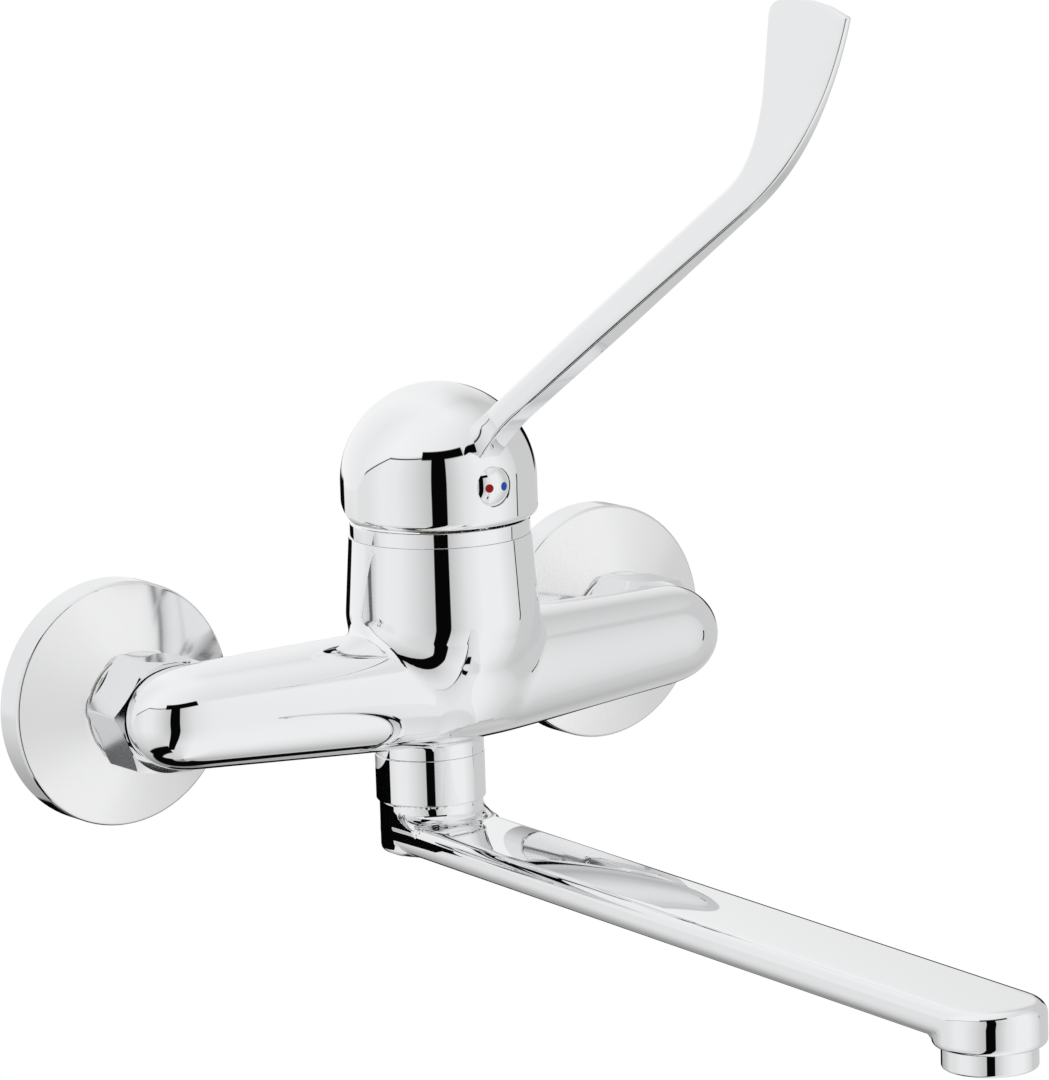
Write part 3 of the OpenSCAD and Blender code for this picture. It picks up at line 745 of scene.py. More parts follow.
@dataclass
class BowedBody:
    """Cast body: bowed tapering arms, neck, shoulder and outlet boss."""

    grain: float = 1.15
    bend_r: float = 110.0
    middle_reach: float = 44.9
    half_angle: float = math.radians(7.82)
    arm_length: float = 62.9
    middle_r: float = 15.7
    middle_ease: float = 8.0
    end_r: float = 13.0
    end_ease: float = 8.0
    lift: float = 0.65
    neck_top_r: float = 23.35
    neck_slope: float = 0.0712
    neck_spare: float = 6.0
    neck_edge: float = 0.5
    foot_fillet: float = 4.0
    shoulder_round: float = 3.0
    shoulder_z: float = 14.0
    shoulder_r: float = 25.0
    shoulder_lean: float = math.radians(29.7)
    shoulder_shift: float = 0.16
    shoulder_low: float = -7.0
    boss_r: float = 14.0
    boss_low: float = -19.2
    boss_top: float = -6.0
    boss_spare: float = 3.0
    boss_fillet: float = 1.2
    chamber_r: float = 17.7
    nut_seat_r: float = 20.0
    seat_z: float = 32.0
    floor_z: float = 10.0
    spigot_r: float = 12.2
    spigot_low: float = -27.25
    socket_r: float = 9.05
    socket_top: float = -7.0
    tail_cut: float = 31.4
    tail_start: float = -4.0
    trim: float = 9.0
    neck_trim_r: float = 40.0
    boss_trim_r: float = 24.0
    end_trim: float = 8.0
    seed_bar: float = 36.0
    seed_neck: tuple[float, float, float] = (24.6, 23.1, 30.0)
    seed_foot: tuple[float, float, float] = (15.0, 25.0, 16.0)
    seed_boss: float = 16.0

    def build(self) -> None:
        """Builds the cast skin, bores it and sets it on the fixed body."""
        skin = Skin(self.distance, self.grain)
        bm = skin.wrap(self.seed())
        for tool in self.bores():
            bm = cut(bm, tool)
        skin.shade(make_piece(bm, "body_casting", Body.FIXED, CHROME, ("body",), weighted=False))
        top, low = self.boss_low + 1, self.spigot_low
        spigot = Turning(self.spigot_r, top).line((self.spigot_r, low), (self.socket_r, low), (self.socket_r, top),
                                                  (self.spigot_r, top))
        make_piece(place(spigot.turned(), at_outlet()), "body_spigot", Body.FIXED, BRASS)

    def distance(self, points: np.ndarray) -> np.ndarray:
        """Distance field of the casting.

        Args:
            points: Rows of points in millimetres.

        Returns:
            Signed distances, negative inside.
        """
        x, neck_y, z = points[:, 0], points[:, 1] - NECK_Y, points[:, 2] - RISE
        wide = self.neck_top_r + self.neck_slope * (NECK_TOP - z)
        wall = (np.hypot(x, neck_y) - wide) * math.cos(self.neck_slope)
        drop = np.clip(self.shoulder_z - z, 0.0, None)
        under = (np.hypot(x, neck_y + self.shoulder_shift * drop) - self.shoulder_r) * math.cos(self.shoulder_lean)
        under = under - (z - self.shoulder_z) * math.sin(self.shoulder_lean)
        under = np.maximum(under, self.shoulder_low - z)
        neck = round_common(round_common(wall, under, self.shoulder_round), z - NECK_TOP - self.neck_spare,
                            self.neck_edge)
        boss_rho = np.hypot(x, points[:, 1] - OUTLET_Y)
        boss = np.maximum(np.maximum(boss_rho - self.boss_r, self.boss_low - self.boss_spare - z), z - self.boss_top)
        return round_union(round_union(self.arms(points), neck, self.foot_fillet), boss, self.boss_fillet)

    def arms(self, points: np.ndarray) -> np.ndarray:
        """Distance field of the two bowed arms.

        Args:
            points: Rows of points in millimetres.

        Returns:
            Signed distances, negative inside.
        """
        x, z = np.abs(points[:, 0]), points[:, 2] - RISE - self.lift
        y = points[:, 1] + self.middle_reach - self.bend_r
        sine, cosine = math.sin(self.half_angle), math.cos(self.half_angle)
        start_x, start_y = self.bend_r * sine, -self.bend_r * cosine
        along = (x - start_x) * cosine + (y - start_y) * sine
        out = np.hypot(-(x - start_x) * sine + (y - start_y) * cosine, z)
        fall = (self.middle_r - self.end_r) / self.arm_length
        taper = fall * 0.5 * (along + np.sqrt(along ** 2 + self.middle_ease ** 2)) - self.middle_r
        end = np.hypot(out, along - self.arm_length) - self.end_r * (1 - fall ** 2)
        switch = self.arm_length + self.end_r * fall - (out - self.end_r) * fall
        past = np.clip((along - switch) / self.end_ease, -1.0, 1.0)
        ease = ((past + 1) ** 3 / 12 - np.maximum(past, 0) ** 2 / 2) * self.end_ease ** 2 / self.end_r
        straight = np.where(along > switch, end, out + taper) + ease
        return np.where(along > 0.0, straight, np.hypot(np.hypot(x, y) - self.bend_r, z) + taper)

    def seed(self) -> BMesh:
        """Sets rough solids where the casting will be.

        Returns:
            Overlapping cones and balls in millimetres.
        """
        bm = bmesh.new()
        height, length = RISE + self.lift, self.arm_length
        centre = Matrix.Translation((0.0, self.bend_r - self.middle_reach, height))
        for side in Side:
            bow = Matrix.Rotation(side.value * self.half_angle, 4, "Z") @ Matrix.Translation((0, -self.bend_r, 0))
            base = centre @ bow @ Matrix.Rotation(side.value * QUARTER_TURN, 4, "Y")
            add_rod(bm, self.middle_r, self.end_r, length, base @ up(length / 2))
            for radius, matrix in ((self.end_r, base @ up(length)), (self.middle_r, base)):
                bmesh.ops.create_uvsphere(bm, u_segments=64, v_segments=32, radius=radius, matrix=matrix)
        across = Matrix.Translation((0, -self.middle_reach, height)) @ Matrix.Rotation(QUARTER_TURN, 4, "Y")
        add_rod(bm, self.middle_r, self.middle_r, self.seed_bar, across)
        add_rod(bm, *self.seed_neck, at_neck() @ up(NECK_TOP + self.neck_spare - self.seed_neck[2] / 2), 96)
        add_rod(bm, *self.seed_foot, at_neck() @ up(self.seed_foot[2] / 2), 96)
        boss_rise = self.seed_boss / 2 - self.boss_spare
        add_rod(bm, self.boss_r, self.boss_r, self.seed_boss, at_outlet() @ up(self.boss_low + boss_rise))
        return bm

    def bores(self) -> list[BMesh]:
        """Makes the tools that trim and bore the casting.

        Returns:
            Cutting solids in millimetres.
        """
        high, low = NECK_TOP + self.trim, self.boss_low - self.trim
        wide, slim = self.neck_trim_r, self.boss_trim_r
        neck = Turning(0, high).line(
            (wide, high), (wide, NECK_TOP), (self.nut_seat_r, NECK_TOP), (self.nut_seat_r, self.seat_z),
            (self.chamber_r, self.seat_z), (self.chamber_r, self.floor_z), (0, self.floor_z), (0, high))
        boss = Turning(0, low).line(
            (slim, low), (slim, self.boss_low), (self.socket_r, self.boss_low), (self.socket_r, self.socket_top),
            (0, self.socket_top), (0, low))
        end_r = self.end_r + self.end_trim
        ends = [place(post(end_r, self.tail_start, self.tail_cut), at_inlet(side)) for side in Side]
        return [place(neck.turned(), at_neck()), place(boss.turned(), at_outlet()), *ends]


@dataclass
class Cartridge:
    """Ceramic cartridge inside the neck and the cover ring above it."""

    ring_r: float = 22.95
    ring_inner: float = 20.1
    ring_lip: float = 0.25
    low_edge: float = 0.2
    high_edge: float = 0.4

    def build(self) -> None:
        """Builds the cover ring and dresses the cartridge's CAD nodes."""
        low, high, outer, inner = NECK_TOP, RING_TOP + self.ring_lip, self.ring_r, self.ring_inner
        below, above = self.low_edge, self.high_edge
        ring = Turning(inner, low).line((outer - below, low)).arc(outer - below, low + below, 90, 3)
        ring.line((outer, high - above)).arc(outer - above, high - above, 90, 5).line((inner, high), (inner, low))
        make_piece(place(ring.turned(), at_neck()), "cover_ring_band", Body.FIXED, CHROME, ("cover_ring",))
        dress(PLASTIC, "cartridge_base", "cartridge_housing", "disc_driver", "carrier")
        dress(CERAMIC, "fixed_disc", "moving_disc")
        dress(RUBBER, "base_seals")
        dress(BRASS, "cartridge_nut", "stem")
        dress(STEEL, "pivot_pin", "grub_screw")


def bearing(angle: float) -> Vector:
    """Direction as distance and height, from straight down towards the front."""
    return Vector((math.sin(angle), -math.cos(angle)))


@dataclass
class ElbowLever:
    """Domed cap with the long elbow arm, its upright blade and the index button."""

    wall: float = 3.0
    low_round: float = 2.0
    arm_angle: float = math.radians(32.0)
    arm_taper: float = math.radians(0.7)
    under_offset: float = -3.4
    arm_run: float = 133.7
    arm_depth: float = 8.4
    arm_width: float = 7.0
    front_r: float = 90.0
    back_r: float = 35.0
    back_lag: float = 5.3
    back_root: float = 5.5
    blade_height: float = 45.5
    back_angle: float = math.radians(82.0)
    top_r: float = 46.6
    crown: float = 1.6
    crown_start: float = 0.72
    lean: float = math.radians(21.4)
    blade_low: float = 4.1
    blade_mid: float = 2.4
    blade_tip: float = 2.0
    thin_start: float = 34.0
    root_start: float = 22.0
    root_end: float = 38.0
    root_drop: float = 2.8
    root_ease: float = 15.0
    corner_r: float = 3.0
    low_edge: float = 0.9
    high_edge: float = 2.2
    blade_edge: float = 0.8
    edge_start: float = 0.45
    edge_run: float = 0.2
    thinnest: float = 0.02
    tip_edge: float = 0.9
    tip_share: float = 0.05
    tip_spare: float = 0.7
    low_rise: float = 4.0
    mid_rise: float = 29.0
    tip_rise: float = 8.0
    button_r: float = 5.0
    button_depth: float = 3.4
    seat_gap: float = 0.1
    seat_depth: float = 2.6
    seat_spare: float = 3.0
    button_ball: float = 7.25
    button_top: float = 26.1
    dot_r: float = 1.08
    dot_reach: float = 2.25
    dot_proud: float = 0.03
    dot_depth: float = 0.3
    screw_z: float = 53.4
    lift_max: float = math.radians(22.0)
    relief_z: float = 42.66
    relief_width: float = 80.0

    def build(self) -> None:
        """Builds the lever, its button and the colour dots."""
        lever = place(join(self.cap(), self.arm()), at_neck())
        make_piece(lever, "lever_casting", Body.HANDLE, CHROME, ("lever",), sharp=40.0)
        button = place(self.button(), at_neck())
        make_piece(button, "index_button_plug", Body.HANDLE, CHROME, ("index_button",))
        for side, finish, node in ((Side.LEFT, RED, "red_dot"), (Side.RIGHT, BLUE, "blue_dot")):
            make_piece(place(self.dot(side), at_neck()), f"{node}_disc", Body.HANDLE, finish, (node,))

    def cap(self) -> BMesh:
        """Turns the hollow domed cap and cuts its relief and button seat.

        Returns:
            The cap about the neck axis.
        """
        edge, inner = self.low_round, CAP_R - self.wall
        section = Turning(inner, CAP_LOW).line((CAP_R - edge, CAP_LOW)).arc(CAP_R - edge, CAP_LOW + edge, 90, 8)
        section.line((CAP_R, DOME_Z)).arc(0, DOME_Z, 90, 48).line((0, DOME_Z + inner)).arc(0, DOME_Z, -90, 24)
        cap = section.line((inner, CAP_LOW)).turned()
        wedge = bmesh.new()
        bmesh.ops.create_cube(wedge, size=1.0)
        tilt = up(self.relief_z) @ Matrix.Rotation(self.lift_max, 4, "X")
        place(wedge, tilt @ Matrix.Translation((0, CAP_R, -CAP_R / 2))
              @ Matrix.Diagonal((self.relief_width, 2 * CAP_R, CAP_R, 1)))
        seat = post(self.button_r + self.seat_gap, CAP_R - self.seat_depth, CAP_R + self.seat_spare, 64)
        place(seat, self.button_place())
        return cut(cut(cap, wedge), seat)

    def button_place(self) -> Matrix:
        """Place of pieces drawn outwards from the screw's level in the cap's front."""
        return up(self.screw_z) @ Matrix.Rotation(QUARTER_TURN, 4, "X")

    def button(self) -> BMesh:
        """Turns the index button with its domed face.

        Returns:
            The button about the neck axis.
        """
        radius, ball, centre = self.button_r, self.button_ball, self.button_top - self.button_ball
        rise = math.degrees(math.acos(radius / ball))
        low, high = CAP_R - self.button_depth, centre + math.sqrt(ball ** 2 - radius ** 2)
        section = Turning(0, low).line((radius, low), (radius, high))
        return place(section.arc(0, centre, 90 - rise, 16).turned(96), self.button_place())

    def dot(self, side: Side) -> BMesh:
        """Makes a colour dot that lies on the button's dome.

        Args:
            side: Side of the button.

        Returns:
            The dot about the neck axis.
        """
        tilt = Matrix.Rotation(side.value * math.asin(self.dot_reach / self.button_ball), 4, "Y")
        dot = post(self.dot_r, self.button_ball - self.dot_depth, self.button_ball + self.dot_proud, 40)
        return place(dot, self.button_place() @ up(self.button_top - self.button_ball) @ tilt)

    def under(self, u: float) -> float:
        """Height of the arm's underside, deeper towards the cap, at a distance from the axis."""
        near = max(0.0, (self.root_end - u) / self.root_ease)
        return DOME_Z + self.under_offset + u * math.tan(self.arm_angle) - self.root_drop * near ** 2

    def stations(self) -> np.ndarray:
        """Distances of the straight arm's cross-sections from the axis, closer together at the root."""
        return np.concatenate([np.linspace(self.root_start, self.root_end, 9)[:-1],
                               np.linspace(self.root_end, self.arm_run, 16)])

    def front_centre(self) -> Vector:
        """Centre of the blade's front edge as distance and height."""
        return Vector((self.arm_run, self.under(self.arm_run))) - self.front_r * bearing(self.arm_angle)

    def front_angle(self, spare: float) -> float:
        """Angle at which the front edge reaches the blade's height and something to spare."""
        rise = self.front_centre().y - self.under(self.arm_run) - self.blade_height - spare
        return math.acos(rise / self.front_r)

    def lower_edge(self) -> list[Vector]:
        """Samples the underside and the blade's front edge.

        Returns:
            Points as distance and height, from the cap to the tip.
        """
        straight = [Vector((u, self.under(u))) for u in self.stations()]
        turns = np.linspace(self.arm_angle, self.front_angle(self.tip_spare), 41)[1:]
        return straight + [self.front_centre() + self.front_r * bearing(a) for a in turns]

    def upper_edge(self) -> list[Vector]:
        """Samples the arm's upper edge and the blade's back edge.

        Returns:
            Points as distance and height, as many as the lower edge has.
        """
        steep = self.arm_angle + self.arm_taper
        back_u = self.arm_run - self.arm_depth * math.sin(steep) - self.back_lag
        back = Vector((back_u, self.under(back_u) + self.arm_depth / math.cos(self.arm_angle)))
        run = (back_u - self.root_start + self.back_root) / math.cos(steep)
        start = back - Vector((math.cos(steep), math.sin(steep))) * run
        shares = (self.stations() - self.root_start) / (self.arm_run - self.root_start)
        straight = [start.lerp(back, t) for t in shares]
        centre = back - self.back_r * bearing(steep)
        bent = [centre + self.back_r * bearing(a) for a in np.linspace(steep, self.back_angle, 23)[1:]]
        rise = Vector((math.cos(self.back_angle), math.sin(self.back_angle)))
        top = self.top_corner(bent[-1], rise)
        below = top - rise * self.corner_r
        turned = Matrix.Rotation(-self.corner_r / self.top_r, 2) @ (top - self.top_centre()) + self.top_centre()
        corner = [below.lerp(top, t).lerp(top.lerp(turned, t), t) for t in np.linspace(0, 1, 9)[1:]]
        return straight + bent + [bent[-1].lerp(below, t) for t in np.linspace(0, 1, 11)[1:]] + corner

    def top_centre(self) -> Vector:
        """Centre of the blade's curved top as distance and height."""
        tip = self.front_centre() + self.front_r * bearing(self.front_angle(0.0))
        return tip - (self.top_r - self.crown) * Vector((math.sin(self.lean), math.cos(self.lean)))

    def top_corner(self, start: Vector, rise: Vector) -> Vector:
        """Meets a straight edge with the curved top.

        Args:
            start: A point of the edge.
            rise: Direction of the edge.

        Returns:
            The corner where the edge reaches the top.
        """
        gap = start - self.top_centre()
        half = gap.dot(rise)
        return start + rise * (-half + math.sqrt(half * half - gap.length_squared + self.top_r ** 2))

    def half_width(self, z: float) -> float:
        """Half the lever's thickness at a height.

        Args:
            z: Height over the inlets.

        Returns:
            Half the thickness.
        """
        bend_z = self.under(self.arm_run)
        levels = [bend_z - self.thin_start, bend_z + self.low_rise, bend_z + self.mid_rise,
                  bend_z + self.blade_height + self.tip_rise]
        widths = (self.arm_width, self.blade_low, self.blade_mid, self.blade_tip)
        return float(np.interp(z, levels, [width / 2 for width in widths]))

    def ring_places(self, low: Vector, high: Vector, share: float) -> list[Vector]:
        """Lays one rounded cross-section between the two edges.

        Args:
            low: Point of the lower edge.
            high: Point of the upper edge.
            share: Position along the lever, 0 at the cap and 1 at the tip.

        Returns:
            Places of the ring's vertices about the neck axis.
        """
        depth = (high - low).length
        inward = (high - low) / depth
        thinning = min(1.0, max(0.0, (share - self.edge_start) / self.edge_run))
        low_r, high_r = self.low_edge, self.high_edge + (self.blade_edge - self.high_edge) * thinning
        arc = [(1 - math.sin(a), 1 - math.cos(a)) for a in np.radians(np.linspace(0, 90, 6))]
        spots = [(low_r * side, low_r * rise) for side, rise in arc]
        spots += [(0.0, low_r + (depth - high_r - low_r) * t) for t in (0.25, 0.5, 0.75)]
        spots += [(high_r * side, depth - high_r * rise) for side, rise in reversed(arc)]
        bulge = max(0.0, (share - self.crown_start) / (1 - self.crown_start)) ** 2
        left: list[Vector] = []
        for inset, height in spots:
            spot = low + inward * height + bulge * self.crown_lift(low, high, height / depth)
            half = max(self.half_width(spot.y) - inset, self.thinnest)
            left.append(Vector((-half, -spot.x, spot.y)))
        return left + [Vector((-p.x, p.y, p.z)) for p in reversed(left)]

    def crown_lift(self, low: Vector, high: Vector, part: float) -> Vector:
        """Distance from the chord to the curved top at a share of the blade's width.

        Args:
            low: Front corner.
            high: Back corner.
            part: Share of the way from the front to the back.

        Returns:
            The offset as distance and height.
        """
        chord = high - low
        out = Vector((chord.y, -chord.x)).normalized()
        if out.y < 0:
            out = -out
        half = chord.length / 2
        arch = math.sqrt(max(self.top_r ** 2 - (half * (2 * part - 1)) ** 2, 0))
        return out * (arch - math.sqrt(self.top_r ** 2 - half ** 2))

    def arm(self) -> BMesh:
        """Lofts the arm and blade from inside the dome's wall to the rounded tip.

        Returns:
            The arm about the neck axis.
        """
        lows, highs = self.lower_edge(), self.upper_edge()
        last = len(lows) - 1
        rings = [self.ring_places(low, high, n / last) for n, (low, high) in enumerate(zip(lows, highs))]
        bm = bmesh.new()
        ring = [bm.verts.new(p) for p in rings[0]]
        for n in range(len(ring)):
            bm.edges.new((ring[n - 1], ring[n]))
        for places in rings[1:] + self.tip_rings(rings[-1], rings[-2]):
            ring = extend_ring(bm, ring, places)
        bmesh.ops.holes_fill(bm, edges=[e for e in bm.edges if e.is_boundary], sides=0)
        bmesh.ops.recalc_face_normals(bm, faces=bm.faces[:])
        return bm

    def tip_rings(self, last: list[Vector], before: list[Vector]) -> list[list[Vector]]:
        """Rounds the blade's top edge over.

        Args:
            last: The blade's last full ring.
            before: The ring before it.

        Returns:
            Shrinking rings that close the top.
        """
        centre = sum(last, Vector()) / len(last)
        rise = (centre - sum(before, Vector()) / len(before)).normalized()
        rings: list[list[Vector]] = []
        for a in np.linspace(0, QUARTER_TURN, 6)[1:]:
            shrink = self.tip_edge * (1 - math.cos(a))
            places = []
            for spot in last:
                half = abs(spot.x)
                side = math.copysign(max(half - shrink, self.tip_share * half), spot.x)
                inner = Vector((0, spot.y - centre.y, spot.z - centre.z))
                pull = inner * (1 - shrink / max(inner.length, 1.0))
                inset = Vector((side, centre.y + pull.y, centre.z + pull.z))
                places.append(inset + rise * self.tip_edge * math.sin(a))
            rings.append(places)
        return rings


@dataclass
class SwivelSpout:
    """Collar nut, flat swivel spout with its stub and tail, and the aerator."""

    grain: float = 0.95
    collar_r: float = 14.1
    collar_edge: float = 0.35
    collar_bore: float = 12.25
    collar_lip_r: float = 10.2
    collar_lip: float = 2.1
    post_r: float = 13.3
    tube_height: float = 8.6
    top_round: float = 2.8
    low_round: float = 4.6
    crown: float = 0.8
    crown_rise: float = 0.6
    stub_drop: float = 0.3
    stub_edge: float = 1.5
    stub_top_edge: float = 0.3
    flare_depth: float = 2.0
    flare_edge: float = 0.8
    root_fillet: float = 4.0
    end_height: float = 9.9
    end_edge: float = 1.2
    tail_r: float = 9.0
    tail_bore: float = 5.8
    tail_top: float = -8.0
    tail_root: float = 3.0
    tail_edge: float = 0.6
    groove_r: float = 7.25
    grooves: tuple[tuple[float, float], ...] = ((-28.75, -27.65), (-17.1, -14.9), (-12.1, -9.9))
    aerator_r: float = 11.2
    aerator_height: float = 5.4
    aerator_thread: float = 10.9
    aerator_edge: float = 0.6
    aerator_gap: float = 0.05
    thread_depth: float = 5.0
    mouth_r: float = 9.0
    mouth_edge: float = 0.3
    mouth_step: float = 0.6
    mouth_depth: float = 2.2

    def build(self) -> None:
        """Builds the collar, the spout and the aerator and dresses the seals."""
        make_piece(place(self.collar(), at_outlet()), "collar_nut_sleeve", Body.FIXED, CHROME, ("collar_nut",))
        skin = Skin(self.distance, self.grain)
        bm = skin.wrap(self.seed())
        skin.shade(make_piece(bm, "spout_casting", Body.OUTFLOW, CHROME, ("spout",), weighted=False))
        make_piece(place(self.tail(), at_outlet()), "spout_tail", Body.OUTFLOW, BRASS)
        make_piece(place(self.aerator(), at_outlet(SPOUT_REACH)), "aerator_sleeve", Body.OUTFLOW, CHROME,
                   ("aerator_housing",))
        dress(RUBBER, "spout_rings", "aerator_gasket")
        dress(PLASTIC, "slide_ring")
        dress(INSERT, "aerator_insert")

    def end_top(self) -> float:
        """Height of the spout's top over the aerator axis."""
        return TUBE_TOP - SPOUT_REACH * math.tan(SPOUT_SLOPE)

    def distance(self, points: np.ndarray) -> np.ndarray:
        """Distance field of the spout.

        Args:
            points: Rows of points in millimetres.

        Returns:
            Signed distances, negative inside.
        """
        x, y, z = points[:, 0], OUTLET_Y - points[:, 1], points[:, 2] - RISE - TUBE_TOP
        along = y * math.cos(SPOUT_SLOPE) - z * math.sin(SPOUT_SLOPE)
        above = y * math.sin(SPOUT_SLOPE) + z * math.cos(SPOUT_SLOPE)
        above = above + self.crown * (x / self.post_r) ** 2 - self.crown_rise
        run = SPOUT_REACH / math.cos(SPOUT_SLOPE)
        plan = np.hypot(x, along - np.clip(along, 0.0, run)) - self.post_r
        tube = round_common(round_common(plan, above, self.top_round), -self.tube_height - above, self.low_round)
        end_rho = np.hypot(x, y - SPOUT_REACH) - self.post_r
        end_low = self.end_top() - self.end_height - TUBE_TOP
        end = round_common(round_common(end_rho, above, self.top_round), end_low - z, self.end_edge)
        beyond = np.hypot(x, y) - self.post_r
        stub = round_common(beyond, -self.tube_height - self.stub_drop - z, self.stub_edge)
        stub = round_common(stub, z - STUB_TOP + TUBE_TOP, self.stub_top_edge)
        k = self.root_fillet
        hollow = k - np.hypot(beyond - k, above - k)
        flare = np.maximum(np.maximum(hollow, above - k), np.maximum(beyond - k, -self.flare_depth - above))
        flare = round_common(flare, plan, self.flare_edge)
        return np.minimum(np.minimum(tube, end), np.minimum(stub, flare))

    def seed(self) -> BMesh:
        """Sets rough solids where the spout will be.

        Returns:
            Overlapping box and posts in millimetres.
        """
        bm = bmesh.new()
        run, top = SPOUT_REACH / math.cos(SPOUT_SLOPE), self.end_top()
        bmesh.ops.create_cube(bm, size=1.0)
        slope = at_outlet() @ up(TUBE_TOP) @ Matrix.Rotation(SPOUT_SLOPE, 4, "X")
        place(bm, slope @ Matrix.Translation((0, -run / 2, -self.tube_height / 2))
              @ Matrix.Diagonal((2 * self.post_r, run, self.tube_height, 1)))
        for reach, low, high in ((0.0, TUBE_TOP - self.tube_height - self.stub_drop, STUB_TOP),
                                 (SPOUT_REACH, top - self.end_height, top)):
            add_rod(bm, self.post_r, self.post_r, high - low, at_outlet(reach) @ up((high + low) / 2), 96)
        return bm

    def collar(self) -> BMesh:
        """Turns the smooth collar nut with its inner lip.

        Returns:
            The collar about the spout axis.
        """
        lip, bore, flat = self.collar_lip_r, self.collar_bore, COLLAR_LOW + self.collar_lip
        edge, side = self.collar_edge, self.collar_r - self.collar_edge
        section = Turning(lip, COLLAR_LOW).line((side, COLLAR_LOW)).arc(side, COLLAR_LOW + edge, 90, 4)
        section.line((self.collar_r, COLLAR_TOP - edge)).arc(side, COLLAR_TOP - edge, 90, 4)
        return section.line((bore, COLLAR_TOP), (bore, flat), (lip, flat), (lip, COLLAR_LOW)).turned()

    def tail(self) -> BMesh:
        """Turns the spout's grooved tail that sits in the body.

        Returns:
            The tail about the spout axis.
        """
        outer, groove, bore, start = self.tail_r, self.groove_r, self.tail_bore, STUB_TOP - self.tail_root
        section = Turning(bore, start).line((outer, start))
        for low, high in self.grooves:
            section.line((outer, low), (groove, low), (groove, high), (outer, high))
        top, edge = self.tail_top, self.tail_edge
        section.line((outer, top - edge), (outer - edge, top), (bore, top), (bore, start))
        return section.turned(96)

    def aerator(self) -> BMesh:
        """Turns the aerator's sleeve with a fine groove under the spout.

        Returns:
            The sleeve about the aerator axis.
        """
        high = self.end_top() - self.end_height
        low, outer, mouth, thread = high - self.aerator_height, self.aerator_r, self.mouth_r, self.aerator_thread
        lip, edge, wide = low + self.mouth_edge, self.aerator_edge, mouth + self.mouth_step
        groove, deep, step = high - self.aerator_gap, high + self.thread_depth, low + self.mouth_depth
        section = Turning(mouth, lip).arc(mouth + self.mouth_edge, lip, 90, 3).line((outer - edge, low))
        section.arc(outer - edge, low + edge, 90, 5)
        section.line((outer, groove), (thread, groove), (thread, deep), (wide, deep), (wide, step), (mouth, step),
                     (mouth, lip))
        return section.turned()


# Studio

LEAN_DROP = 30.0
SCREEN_OFFSET = 0.055
SCREEN_POWER = 2.4


@dataclass(frozen=True)
class DarkPanel:
    """Dark stretch of the light tent, bounded in degrees.

    Attributes:
        around: First and last angle around.
        level: Lowest and highest angle from level.
        soft: Width of its soft edges.
        lean: Degrees that it has shifted around at 30 degrees below the knee, on a growing curve.
        from_behind: Whether it counts around from behind the tap.
        from_edge: Whether it counts level from the ceiling's edge.
        knee: Height angle under which it leans.
    """

    around: tuple[float, float]
    level: tuple[float, float]
    soft: float = 0.8
    lean: float = 0.0
    from_behind: bool = False
    from_edge: bool = False
    knee: float = -12.0

    def mask(self, nodes: Nodes, around: Socket, level: Socket) -> Socket:
        """Marks the panel on the tent.

        Args:
            nodes: Nodes of the tent's material.
            around: Angle around in degrees.
            level: Angle from level in degrees.

        Returns:
            Socket that is one inside the panel.
        """
        if self.lean:
            below = nodes.calc("MINIMUM", nodes.calc("SUBTRACT", level, self.knee), 0.0)
            shift = nodes.calc("MULTIPLY", nodes.calc("MULTIPLY", below, below), self.lean / LEAN_DROP ** 2)
            around = nodes.calc("ADD", around, shift)
        half = self.soft / 2
        return nodes.chain("MULTIPLY", [
            nodes.span(value, edge - way * half, edge + way * half)
            for value, edges in ((around, self.around), (level, self.level))
            for edge, way in zip(edges, (1, -1))])


def paint(tone: float) -> float:
    """Light of a panel that shows at a screen tone in polished metal."""
    light = ((tone + SCREEN_OFFSET) / (1 + SCREEN_OFFSET)) ** SCREEN_POWER
    return min(1.0, light / CHROME.colour[0])


def tones_round(tones: dict[float, float]) -> Stops:
    """Ramp stops of screen tones by degrees around from the camera."""
    return tuple((angle / 360 + 0.5, paint(tone)) for angle, tone in tones.items())


# Screen tones of the tent by degrees around from the camera
WALL_TONES = tones_round({
    -180: 0.78, -150: 0.7, -130: 0.76, -110: 0.88, -90: 0.88, -70: 0.92, -50: 0.91, -30: 0.85, -10: 0.76,
    12: 0.77, 30: 0.88, 50: 0.93, 75: 0.93, 103: 0.84, 107: 0.79, 150: 0.79, 180: 0.8})
CEILING_TONES = tones_round({
    -180: 0.93, -155: 0.95, -106: 0.91, -60: 0.95, 0: 0.92, 50: 0.88, 100: 0.85, 150: 0.78, 166: 0.88, 180: 0.93})
GROUND_TONES = tones_round({
    -180: 0.5, -150: 0.55, -130: 0.66, -90: 0.8, -40: 0.8, 0: 0.85, 30: 0.93, 60: 0.93, 100: 0.83, 140: 0.7,
    165: 0.78, 180: 0.6})
ZENITH_TONE = grey(paint(0.94))
DARK_TONE = grey(0.002)

# Share of the ground by degrees from level, and height of the ceiling's edge by degrees around
GROUND_SHARE = tuple((angle / 180 + 0.5, share) for angle, share in {
    -90: 1.0, -50: 1.0, -18: 0.0, 90: 0.0}.items())
EDGE_RANGE = 90.0
CEILING_EDGE = tuple((angle / 360 + 0.5, edge / EDGE_RANGE + 0.5) for angle, edge in {
    -180: -13.0, -112: -13.0, -106: -8.0, -104: -6.5, -97: 3.0, -94: 6.5, -64: 27.0, -21: 33.0, 44: 36.0,
    104: 36.0, 150: 25.0, 168: 10.0, 180: -13.0}.items())

